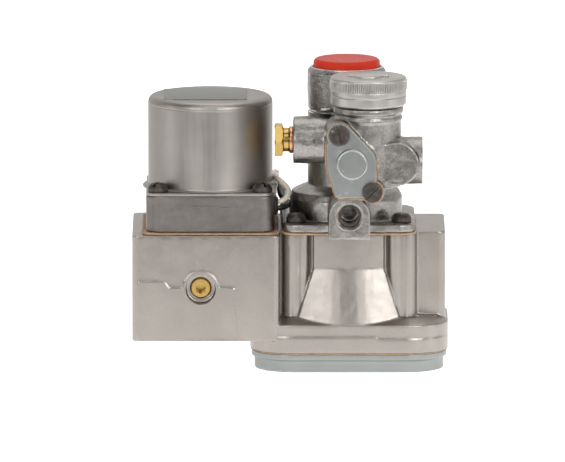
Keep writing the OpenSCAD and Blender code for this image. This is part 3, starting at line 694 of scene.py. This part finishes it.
def ridge(points, width):
    """A thin raised line along points in mm, half sunk in the face it lies on."""
    return tube([Vector(p) for p in points], width / 2, sides=8,
                taper=lambda t: min(1, 8 * t + 0.15, 8 * (1 - t) + 0.15))


def rounded_square(half, radius, segments=8):
    return filleted([(-half, -half, radius), (half, -half, radius), (half, half, radius),
                     (-half, half, radius)], closed=True, segments=segments)


def denser(outline, step):
    """The closed outline with extra points, none further apart than step."""
    points = []
    for a, b in zip(outline, outline[1:] + outline[:1]):
        a, b = Vector(a), Vector(b)
        parts = max(1, math.ceil((b - a).length / step))
        points += [a.lerp(b, k / parts) for k in range(parts)]
    return points


def slotted_head(head_r, head_h, slot, shank_r, shank_len):
    """A round-head screw on z = 0, its head domed and its slot cut across."""
    profile = filleted([
        (0, -shank_len, 0), (shank_r, -shank_len, 0.3), (shank_r, 0, 0), (head_r - 0.25, 0, 0),
        (head_r, 0.35, 0.2), (head_r, head_h * 0.45, head_h * 0.3), (head_r * 0.72, head_h * 0.9, 1.6),
        (0, head_h, 0),
    ])
    cutter = block(-head_r - 1, head_r + 1, -slot / 2, slot / 2, head_h - 1.7, head_h + 1)
    return without(lathe(profile, steps=64), cutter)


def hexagon(across, z0, z1, chamfer):
    """A hexagonal prism whose corners are turned off at both ends."""
    corner = across / math.sqrt(3)
    bm = bmesh.new()
    bmesh.ops.create_cone(bm, cap_ends=True, segments=6, radius1=corner, radius2=corner, depth=z1 - z0)
    bm.transform(Matrix.Translation((0, 0, (z0 + z1) / 2)))
    envelope = lathe([(0, z0 - 1), (across / 2 + 0.2, z0 - 1), (across / 2 + 0.2, z0),
                      (corner + 0.1, z0 + chamfer), (corner + 0.1, z1 - chamfer),
                      (across / 2 + 0.2, z1), (across / 2 + 0.2, z1 + 1), (0, z1 + 1)], steps=64)
    shell = block(-corner - 2, corner + 2, -corner - 2, corner + 2, z0 - 0.9, z1 + 0.9)
    return without(bm, without(shell, envelope))

# ---- lead wires ----

LEAD_D = 2.6
GROUND_Z = LEAD_D / 2 + 0.05
COIL_R = 14.5
COIL_STEP = 1.4
COIL_TURNS = 3
HANDLE = 0.34
WHITE_ROUTE = [
    (-9.5, -6.6, 77.5), (-7, -6.6, 77.5), (-4.63, -6.24, 77.8), (-2.62, -5.21, 78.67),
    (-1.27, -3.67, 79.96), (-0.8, -1.85, 81.49), (-1.27, -0.03, 83.01), (-2.3, 1.3, 84.1),
    (-3.55, 2.9, 85.05), (-4.7, 5.1, 85.7), (-5.55, 7.8, 86), (-6.2, 10.9, 86.15),
    (-7.2, 15, 86.2), (-8.2, 21.5, 86), (-8.2, 26.5, 85.8), (-7, 32.5, 85.6), (-6.4, 38, 84.4),
    (-6.8, 43.5, 80.4), (-7.5, 48, 74), (-8, 50.2, 64), (-8, 50.8, 48), (-8, 51, 34), (-8, 51, 22),
    (-8, 51.6, 13), (-8, 54, 6.5), (-8, 58.4, 2.7), (-8, 64, GROUND_Z), (-8, 70, GROUND_Z),
]
BLACK_ROUTE = [
    (-9.5, -6.6, 74.7), (-7, -6.6, 74.7), (-4.63, -6.14, 74.8), (-2.62, -4.82, 75.08),
    (-1.27, -2.86, 75.5), (-0.8, -0.54, 75.99), (-1.27, 1.78, 76.48), (-2.25, 3.5, 76.9),
    (-3.3, 5.2, 77.5), (-4.15, 7.3, 78.3), (-4.7, 9.7, 79.3), (-4.9, 12.4, 80.3),
    (-4.85, 15.5, 81.15), (-4.6, 19.5, 81.7), (-4.2, 25, 81.9), (-3.6, 32, 80.6),
    (-3.3, 38.5, 77.8), (-3.5, 44.5, 72.6), (-3.6, 49, 65), (-3.6, 50.6, 54), (-3.6, 50.8, 36),
    (-3.4, 50.8, 22), (-2.2, 50.9, 12.6), (1.8, 50.8, 6.2), (7.4, 50.6, 2.6), (14, 50.4, GROUND_Z),
    (24, 50.2, GROUND_Z), (35, 50.1, GROUND_Z), (46, 50.1, GROUND_Z),
]
WHITE_COIL = (7.9, 70)
BLACK_COIL = (46, 66)


def coil_points(xy, start, turn):
    """One turn outside, one inside it and one lying on the two; turn is 1 or -1."""
    per_turn = 16
    points = []
    for i in range(1, COIL_TURNS * per_turn + 1):
        t = i / per_turn
        angle = math.radians(start) + turn * 2 * math.pi * t
        inward = min(max(t - 0.9, 0) / 0.2, 1)
        upward = min(max(t - 1.85, 0) / 0.3, 1)
        radius = COIL_R + COIL_STEP * (1 - 2 * inward + upward)
        height = GROUND_Z + 2.3 * upward
        points.append((xy[0] + radius * math.cos(angle), xy[1] + radius * math.sin(angle), height))
    return points


def lead(name, points, slot):
    """The insulated wire along points, replacing its CAD tube and coil."""
    curve = bpy.data.curves.new(name, "CURVE")
    curve.dimensions = "3D"
    curve.bevel_depth = LEAD_D / 2 * MM
    curve.bevel_resolution = 6
    curve.resolution_u = 6
    spline = curve.splines.new("BEZIER")
    spline.bezier_points.add(len(points) - 1)
    path = [Vector(point) * MM for point in points]
    for i, knot in enumerate(spline.bezier_points):
        back = path[i] - path[max(i - 1, 0)]
        ahead = path[min(i + 1, len(path) - 1)] - path[i]
        way = (back.normalized() + ahead.normalized()).normalized()
        knot.handle_left_type = knot.handle_right_type = "FREE"
        knot.co = path[i]
        knot.handle_left = path[i] - way * back.length * HANDLE
        knot.handle_right = path[i] + way * ahead.length * HANDLE
    curve.use_fill_caps = True
    made = link(bpy.data.objects.new(name, curve), slot, "valve")
    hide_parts(slot, slot + "_coil")
    return made


def bared_end(name, points):
    """Twisted copper strands standing out of a lead's cut end."""
    tip = Vector(points[-1])
    along = (tip - Vector(points[-2])).normalized()
    side = along.cross(Vector((0, 0, 1))).normalized()
    strands = []
    for k in range(7):
        path = []
        for i in range(9):
            angle = 2 * math.pi * k / 6 + i * 0.45
            off = 0 if k == 6 else 0.46
            path.append(tip + along * (i * 0.9 - 0.6)
                        + off * (side * math.cos(angle) + Vector((0, 0, 1)) * math.sin(angle)))
        strands.append(place(tube(path, 0.22, 6), Matrix.Scale(MM, 4)))
    return mesh_piece(name, to_mesh(name, joined(*strands)), "copper", "valve")


for name, route, xy, start, turn, slot in (
    ("white_lead", WHITE_ROUTE, WHITE_COIL, 180, -1, "lead_white"),
    ("black_lead", BLACK_ROUTE, BLACK_COIL, -90, 1, "lead_black"),
):
    points = route + coil_points(xy, start, turn)
    wire = lead(name, points, slot)
    strap = mesh_piece(slot + "_strap", softened(slot + "_tie", 0.22, 3, 0.6, wavy([(3, 0.08)])),
                       "tie_plastic", "valve", slot + "_tie")
    end = bared_end(name + "_end", points)

# ---- castings ----

AXIS_Y = 9.1
SOLENOID_X = -37.1
RESET_X = 26.2
COCK_XY = (36.1, -26.1)
COVER_SCREWS = ((22.7, 114.5, 105), (37.9, 88, 45))
EMBOSS_XZ = (28.55, 101.1)
COVER_FRONT_Y = -44.8
FOOT_FRONT_Y = -24.72
BASE_FRONT_Y = -20.68
TAP_X, TAP_Z = -41.5, 39.1
TAP_DEPTH = 5
BONNET_SCREW_Z = 69.4
COIL_SCREW_Z = 83.7
FOOT_SCREW_Z = 4.6
COIL_SCREW_PITCH = 24.2


def uneven_edge(point, normal):
    """Gasket fibre: cut edges wander, faces stay almost flat."""
    side = math.hypot(normal.x, normal.y)
    wander = noise.noise(Vector((point.x / 3, point.y / 3, point.z / 2)))
    return (0.28 * side + 0.02) * wander


def uneven_front_edge(point, normal):
    side = math.hypot(normal.x, normal.z)
    wander = noise.noise(Vector((point.x / 2.5, 0, point.z / 2.5)))
    return (0.25 * side + 0.02) * wander


def extended(mesh, *parts):
    """A mesh with more closed parts in it, each a bmesh in metres."""
    whole = bmesh.new()
    whole.from_mesh(mesh)
    bpy.data.meshes.remove(mesh)
    for part in parts:
        extra = bpy.data.meshes.new("extra")
        bmesh.ops.recalc_face_normals(part, faces=part.faces)
        for face in part.faces:
            face.smooth = True
        part.to_mesh(extra)
        part.free()
        whole.from_mesh(extra)
        bpy.data.meshes.remove(extra)
    result = bpy.data.meshes.new("whole")
    whole.to_mesh(result)
    whole.free()
    return result


def wandering(start, end, count, wander, seed):
    """Points in mm from start to end, pushed about by noise along Z."""
    start, end = Vector(start), Vector(end)
    points = []
    for i in range(count + 1):
        point = start.lerp(end, i / count)
        point.z += wander * noise.noise(Vector((point.x * 0.55, seed, 0)))
        points.append(point)
    return points


def cast_skin(point, normal):
    """Rough die-casting: lumps, cold-flow creases running round the wall, and pits."""
    lumps = 0.22 * noise.noise(point / 5)
    level = Vector((point.x / 9, point.y / 9, point.z / 1.6 + 0.8 * noise.noise(point / 6)))
    crease = -0.22 * max(0, 0.25 - abs(noise.noise(level))) * 4 * max(0, noise.noise(point / 7) + 0.1)
    grit = 0.09 * noise.noise(point / 1.3)
    side = math.hypot(normal.x, normal.y)
    return lumps + crease * side + grit



# The foot's parting line stands proud and steps down at its right
foot_flash = place(ridge([(-2, FOOT_FRONT_Y, 16.6), (39.5, FOOT_FRONT_Y, 16.6),
                          (40.3, FOOT_FRONT_Y, 15.7), (56, FOOT_FRONT_Y, 15.7)], 0.42), MM_SCALE)
mesh_piece(
    "body_casting",
    extended(softened("main_body", 0.4, 4, 0.2, wavy([(11, 0.03), (2.2, 0.02)])), foot_flash),
    "cast_body", "valve", "main_body",
)

# Crisp front of the raised pad round the pressure tap, with the flash along its edge
pad_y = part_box("tap_plug")[0].y / MM - TAP_DEPTH
boss_arc = [(TAP_X + 8.2 * math.cos(math.radians(a)), TAP_Z + 8.2 * math.sin(math.radians(a)))
            for a in range(176, 3, -7)]
pad_outline = denser([(-70.3, 15.6), (-70.3, 42.3), (-58.3, 42.3), (-56, 39.5), *boss_arc,
                      (-26.2, 39.5), (-23.9, 15.6)], 1.2)
front_pad = without(plate(pad_outline, -0.7, 0.17, 0.1, wobble=0.5, seed=4.0),
                    place(lathe([(0, -2), (7, -2), (7, 1), (0, 1)], steps=64),
                          Matrix.Translation((TAP_X, TAP_Z, 0))))
pad_flash = ridge([(p[0], p[1] + 0.5 * noise.noise(Vector((p[0] * 0.7, p[1] * 0.7, 4))), 0.12)
                   for p in pad_outline[20:-18]], 0.34)
front_pad = mesh_piece("front_pad", to_mesh("front_pad", place(joined(front_pad, pad_flash),
                                                   at(0, pad_y, 0, "-Y"))), "cast_body", "valve")
# The pad's material leaves out the painted edge highlight.
front_pad.data.materials[0] = cast_metal("cast_pad", BODY_GREY, 0.33, 0.6, 0.03, mottle=0.05,
                                         worn_and_lit_edge=None)
FRONT_FACING = -0.99
for face in front_pad.data.polygons:
    face.use_smooth = face.normal.y > FRONT_FACING

mesh_piece("bonnet_casting", softened("bonnet", 0.45, 3, 0.5, cast_skin), "cast_bonnet", "valve",
           "bonnet")
mesh_piece("reset_housing_casting", softened("reset_housing", 0.4, 2, 0.6, cast_skin),
           "cast_bonnet", "valve", "reset_housing")
base_flash = place(ridge(wandering((-50.8, BASE_FRONT_Y, 77.2), (-27, BASE_FRONT_Y, 77.2), 40, 1.1,
                                   2.0), 0.45), MM_SCALE)
mesh_piece("solenoid_base_casting",
           extended(softened("solenoid_base", 0.5, 4, 0.5, wavy([(8, 0.12), (2, 0.05)], 5)), base_flash),
           "base_metal", "valve", "solenoid_base")
mesh_piece("bottom_cover_casting",
           softened("bottom_cover", 0.5, 2, 0.4, wavy([(8, 0.06), (2, 0.03)], 9)),
           "zinc", "valve", "bottom_cover")
mesh_piece("filter_cover_plate", softened("filter_cover", 0.22, 3, 0.5, wavy([(6, 0.04)], 4)),
           "zinc", "valve", "filter_cover")

# ---- gaskets ----

for node, voxel in (("bottom_gasket", 0.3), ("bonnet_gasket", 0.3), ("solenoid_gasket", 0.3)):
    mesh_piece(node + "_sheet", softened(node, voxel, 2, 0.4, uneven_edge), "gasket", "valve", node)
mesh_piece("filter_gasket_sheet", softened("filter_gasket", 0.25, 1, 0.5, uneven_front_edge),
           "gasket", "valve", "filter_gasket")

# ---- threads in the ports ----


def port_threads(name, slot, turns):
    """Threads in the ports, each on a thin sleeve that lines its bore."""
    threads = []
    for place_at, r, length, pitch, depth, start in turns:
        sleeve = lathe([(r + 0.12, start), (r + 0.12, length), (r - 0.12, length), (r - 0.12, start)],
                       steps=64, closed=True)
        threads.append(place(joined(thread(r, length, pitch, depth, start), sleeve), place_at))
    return mesh_piece(name, to_mesh(name, joined(*threads), sharp=25), slot, "valve")


port_threads("pipe_port_threads", "cast_body", (
    (at(71.9, 16, 43, "-X"), 12.3, 15, 1.81, 0.85, 1.2),
    (at(-73.3, 16, 43, "+X"), 12.3, 15, 1.81, 0.85, 1.2),
))
pilot_threads = port_threads("pilot_port_threads", "cast_bonnet", (
    (at(27.3, -42, 75.9, "+Y"), 4.75, 14, 0.94, 0.5, 1.9),
    (at(61.2, -26.1, 100.2, "-X"), 4.75, 12, 0.94, 0.5, 1.0),
))
# The pilot ports' threads are coloured dark brown-black.
pilot_threads.data.materials[0] = cast_metal("dark_port_metal", (0.10, 0.08, 0.07), 0.5, 0.8, 0.05)

# ---- coil can and its label ----

can_profile = filleted([
    (31.4, 83.0, 0), (31.4, 83.72, 0.3), (28.9, 83.72, 1.5), (28.95, 121.6, 0.2), (28.82, 121.9, 0.2),
    (28.92, 122.2, 0.2), (28.9, 125.7, 3.1), (24.6, 125.7, 0.25), (24.2, 125.5, 0.25), (0, 125.5, 0),
    (0, 124.4, 0), (27.7, 124.4, 2), (27.7, 83.0, 0),
], closed=True)
can_plate = without(plate(denser(rounded_square(29.75, 6), 4), 82.3, 83.7, 0.35),
                    place(lathe([(0, 80), (28.5, 80), (28.5, 86), (0, 86)]), Matrix()))
mesh_piece(
    "coil_can",
    to_mesh("coil_can", place(joined(lathe(can_profile, steps=192, closed=True), can_plate),
                              at(SOLENOID_X, AXIS_Y, 0))),
    "can_steel", "valve", "solenoid_cover",
)
label = plate(filleted([(-21.6, -16, 1.2), (17, -16, 1.2), (17, 16, 1.2), (-21.6, 16, 1.2)],
                       closed=True), 125.45, 125.98, 0.16)
label_border = plate(filleted([(-20.2, -14.6, 0.8), (15.6, -14.6, 0.8), (15.6, 14.6, 0.8),
                               (-20.2, 14.6, 0.8)], closed=True), 125.9, 126.0, 0.04)
mesh_piece("label_foil", to_mesh("label_foil", place(joined(label, label_border),
                                                     at(SOLENOID_X, AXIS_Y, 0))),
           "foil", "valve", "nameplate")

# ---- reset button and gas cock knob ----

button_profile = filleted([
    (0, 139.5, 0), (12.6, 139.5, 0.6), (12.6, 131.5, 0.5), (15.5, 131.5, 0.4), (15.5, 138.4, 0.6),
    (15.45, 141.6, 1.4), (14.3, 142.7, 0.7), (9, 142.55, 2), (0, 142.45, 0),
])
mesh_piece("reset_cap", to_mesh("reset_cap", place(lathe(button_profile, 128), at(RESET_X, AXIS_Y, 0))),
           "button_red", "reset", "reset_button")

KNURL = (133.9, 137.9)
knob_profile = filleted([
    (0, 126.4, 0), (16.9, 126.4, 0.6), (17.5, 127.2, 0.5), (17.5, 130.7, 0.3), (17.2, 131.1, 0.2),
    (17.5, 131.5, 0.3), (17.55, 133.3, 0), (17.5, 133.6, 0), (17.6, 133.9, 0), (17.65, 135.9, 0),
    (17.65, 137.9, 0), (17.55, 138.2, 0), (17.5, 139.55, 0.9), (12, 139.6, 0), (10, 139.35, 0.5),
    (7.2, 139.35, 0.4), (7.1, 140.15, 0.4), (3.5, 140.1, 0), (0, 140.1, 0),
])


def knurl(height, step):
    """Teeth all round between the two heights."""
    if not KNURL[0] - 0.01 < height < KNURL[1] + 0.01:
        return 0
    return (0.28, 0.28, -0.25, -0.25)[step % 4]


nib = plate(filleted([(-9.4, -1.1, 0.9), (9.4, -1.1, 0.9), (9.4, 1.1, 0.9), (-9.4, 1.1, 0.9)],
                     closed=True), 139.2, 140.2, 0.35)
mesh_piece(
    "cock_handle",
    to_mesh("cock_handle", place(joined(lathe(knob_profile, 480, ripple=knurl), nib), at(*COCK_XY, 0))),
    "knob_metal", "cock", "cock_knob",
)

# ---- small bright details: painted highlights on the emboss rim and housing lip, and the clip end ----

# Pale steel: the clip end's own colour, and a painted highlight on the housing lip.
bright = turned_metal("pale_steel_and_painted_highlight", (0.72, 0.71, 0.69), 0.3)
emboss_rim_painted_highlight = lathe(filleted([(6.2, 0.2, 0.1), (6.2, 0.9, 0.2), (6.55, 1.1, 0.2), (6.95, 0.9, 0.2),
                             (7.5, 0.2, 0.1)], closed=True), 96, closed=True)
rim = mesh_piece("cover_emboss_rim", to_mesh("cover_emboss_rim", place(
    emboss_rim_painted_highlight, at(EMBOSS_XZ[0], COVER_FRONT_Y, EMBOSS_XZ[1], "-Y"))), "zinc", "valve")
# The rim is coloured lighter than the zinc cover: a painted highlight on its raised ring.
rim.data.materials[0] = cast_metal("emboss_rim_painted_highlight", (0.46, 0.47, 0.46), 0.38, 0.4, 0.015)
# A pale steel ring along the housing's top rim: a painted highlight.
lip = lathe(filleted([(15.85, 137.6, 0.1), (15.85, 139, 0.2), (16.4, 139.2, 0.15), (16.7, 138.8, 0.2),
                      (16.6, 137.6, 0.1)], closed=True), 128, closed=True)
lip = mesh_piece("housing_lip", to_mesh("housing_lip", place(lip, at(RESET_X, AXIS_Y, 0))),
                 "cast_bonnet", "valve")
lip.data.materials[0] = bright

clip_end = tube([Vector(p) for p in ((14.4, -9.3, 121.2), (15.6, -9.9, 121.3), (17, -10, 121.4),
                                     (18.3, -9.6, 121.4))], 0.7, 12)
clip_end = mesh_piece("clip_end", to_mesh("clip_end", place(clip_end, MM_SCALE)), "steel", "valve")
clip_end.data.materials[0] = bright

# ---- screws ----


def screw_piece(name, node, head, spots, toward="+Z", spin=(30,)):
    matrices = [at(*spot, toward, spin[i % len(spin)]) for i, spot in enumerate(spots)]
    mesh_piece(name, to_mesh(name, copies(head, matrices)), "screw_black", "valve", node)


BONNET_SCREWS = [(x, y, BONNET_SCREW_Z)
                 for x, y in ((2.7, -13.5), (51.5, -13.5), (5.1, 33.1), (46.5, 33.1))]
screw_piece("bonnet_cap_screws", "bonnet_screws", slotted_head(4.65, 4.4, 1.2, 2.35, 18),
            BONNET_SCREWS, spin=(30, 75, 48, 100))
screw_piece("coil_cap_screws", "solenoid_cover_screws", slotted_head(4.7, 4.4, 1.2, 2.35, 32),
            [(SOLENOID_X + x * COIL_SCREW_PITCH, AXIS_Y + y * COIL_SCREW_PITCH, COIL_SCREW_Z)
             for x in (-1, 1) for y in (-1, 1)],
            spin=(65, 20, 110, 80))
FOOT_SCREWS = [(x, y, FOOT_SCREW_Z) for x, y in ((-6.6, -14), (27.3, -16.9), (61.2, -14),
                                                 (-6.6, 32.2), (27.3, 35.1), (61.2, 32.2))]
screw_piece("foot_cap_screws", "bottom_cover_screws", slotted_head(4.5, 3.4, 1.1, 2.35, 13),
            FOOT_SCREWS, "-Z", spin=(10, 55, 95, 130))
cheese_head = without(
    lathe(filleted([(0, -4.6, 0), (1.55, -4.6, 0.2), (1.55, 0, 0), (4.5, 0, 0), (4.7, 0.25, 0.15),
                    (4.7, 1.85, 0.6), (3.4, 1.95, 0), (2.2, 2, 0), (1.1, 2, 0), (0, 2, 0)]), 64),
    block(-6, 6, -0.55, 0.55, 0.75, 3))
cover_matrices = [at(x, COVER_FRONT_Y, z, "-Y", spin) for x, z, spin in COVER_SCREWS]
mesh_piece("cover_cap_screws", to_mesh("cover_cap_screws", copies(cheese_head, cover_matrices)),
           "screw_black", "valve", "filter_cover_screws")

# ---- brass fittings ----

plug = joined(
    hexagon(14.3, 0, 3.8, 0.7),
    lathe(filleted([(0, 3.4, 0), (6.2, 3.4, 0), (6.2, 3.9, 0.1), (5.5, 4.3, 0.3), (5.5, 6.4, 0.3),
                    (5.9, 6.9, 0.2), (5.9, 7.2, 0), (4.7, 7.2, 0), (4.7, 18.7, 0.3), (0, 18.7, 0)])),
)
mesh_piece("brass_plug_turned", to_mesh("brass_plug_turned", place(plug, at(-7.3, -12.4, 107.7, "+X"))),
           "brass", "valve", "brass_plug")
ring = lathe(filleted([(4.8, 6.9, 0), (6.3, 6.9, 0.5), (6.3, 8.65, 0.5), (4.8, 8.65, 0)], closed=True),
             closed=True)
plug_ring = mesh_piece("brass_plug_ring", to_mesh("brass_plug_ring",
                                                  place(ring, at(-7.3, -12.4, 107.7, "+X"))),
                       "brass", "valve")
plug_ring.data.materials[0] = turned_metal("ring_copper", (0.68, 0.36, 0.22), 0.3)

socket = hexagon(4.76, -1, 6, 0.1)
tap = without(lathe(filleted([(0, 0, 0), (4.2, 0, 0), (4.75, 0.6, 0.1), (4.75, 9, 0.3), (0, 9, 0)])),
              socket)
mesh_piece("tap_plug_turned",
           to_mesh("tap_plug_turned", place(tap, at(TAP_X, pad_y + TAP_DEPTH, TAP_Z, "+Y"))),
           "brass", "valve", "tap_plug")

bushing_low, bushing_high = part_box("thermocouple_bushing")
bushing_x = (bushing_low.x + bushing_high.x) / 2 / MM
bushing = without(
    joined(hexagon(13.16, 0, 2.9, 0.5),
           lathe(filleted([(0, 2.5, 0), (6, 2.5, 0), (6, 12.2, 0.4), (0, 12.2, 0)]))),
    lathe([(0, -1), (4.7, -1), (4.1, 0.6), (4.1, 9.2), (0, 9.2)]))
bushing_at = at(bushing_x, bushing_high.y / MM, 17, "-Y")
mesh_piece("thermocouple_bushing_turned",
           to_mesh("thermocouple_bushing_turned",
                   joined(place(bushing, bushing_at),
                          place(thread(4.1, 8.6, 1.0, 0.45, 1.2), bushing_at))),
           "brass", "valve", "thermocouple_bushing")

# ---- lead bushing ----

grommet = lathe(filleted([
    (2.85, 0, 0.2), (3.4, 0, 0.2), (3.4, 4.65, 0.2), (4.6, 4.65, 0.4), (4.6, 5.6, 0.4), (4.0, 5.7, 0.15),
    (3.7, 6.4, 0.3), (2.85, 6.4, 0.2),
], closed=True), 64, closed=True)
mesh_piece("lead_grommet", to_mesh("lead_grommet", place(grommet, at(-12, -6.6, 76.1, "+X"))),
           "bushing_rubber", "valve", "lead_bushing")

# ---- springs ----


def spring_piece(name, node, xy, r, wire_r, z0, z1, turns, body="valve"):
    """A coil spring whose end turns close up."""
    count = turns * 28
    points = []
    for i in range(count + 1):
        t = i / count
        close = min(1, 0.75 * turns * t, 0.75 * turns * (1 - t))
        rise = t if close >= 1 else (t * close if t < 0.5 else 1 - (1 - t) * close)
        angle = 2 * math.pi * turns * t
        points.append(Vector((xy[0] + r * math.cos(angle), xy[1] + r * math.sin(angle),
                              z0 + (z1 - z0) * rise)))
    bm = place(tube(points, wire_r, 12), MM_SCALE)
    return mesh_piece(name, to_mesh(name, bm, 40), "spring_steel", body, node)


reset_coil = spring_piece("reset_spring_wire", "reset_spring", (RESET_X, AXIS_Y), 9, 0.7, 105.8,
                          138.7, 7)
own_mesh(reset_coil)
safety_coil = spring_piece("safety_spring_wire", "safety_spring", (RESET_X, AXIS_Y), 11.5, 0.6, 3.8,
                           35.4, 7)
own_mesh(safety_coil)
plunger_coil = spring_piece("plunger_spring_wire", "plunger_spring", (SOLENOID_X, AXIS_Y), 9.4, 0.6, 51,
                            64.5, 4)
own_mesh(plunger_coil)
spring_piece("cock_spring_wire", "cock_spring", COCK_XY, 5.4, 0.5, 118.7, 125.7, 4, "cock")
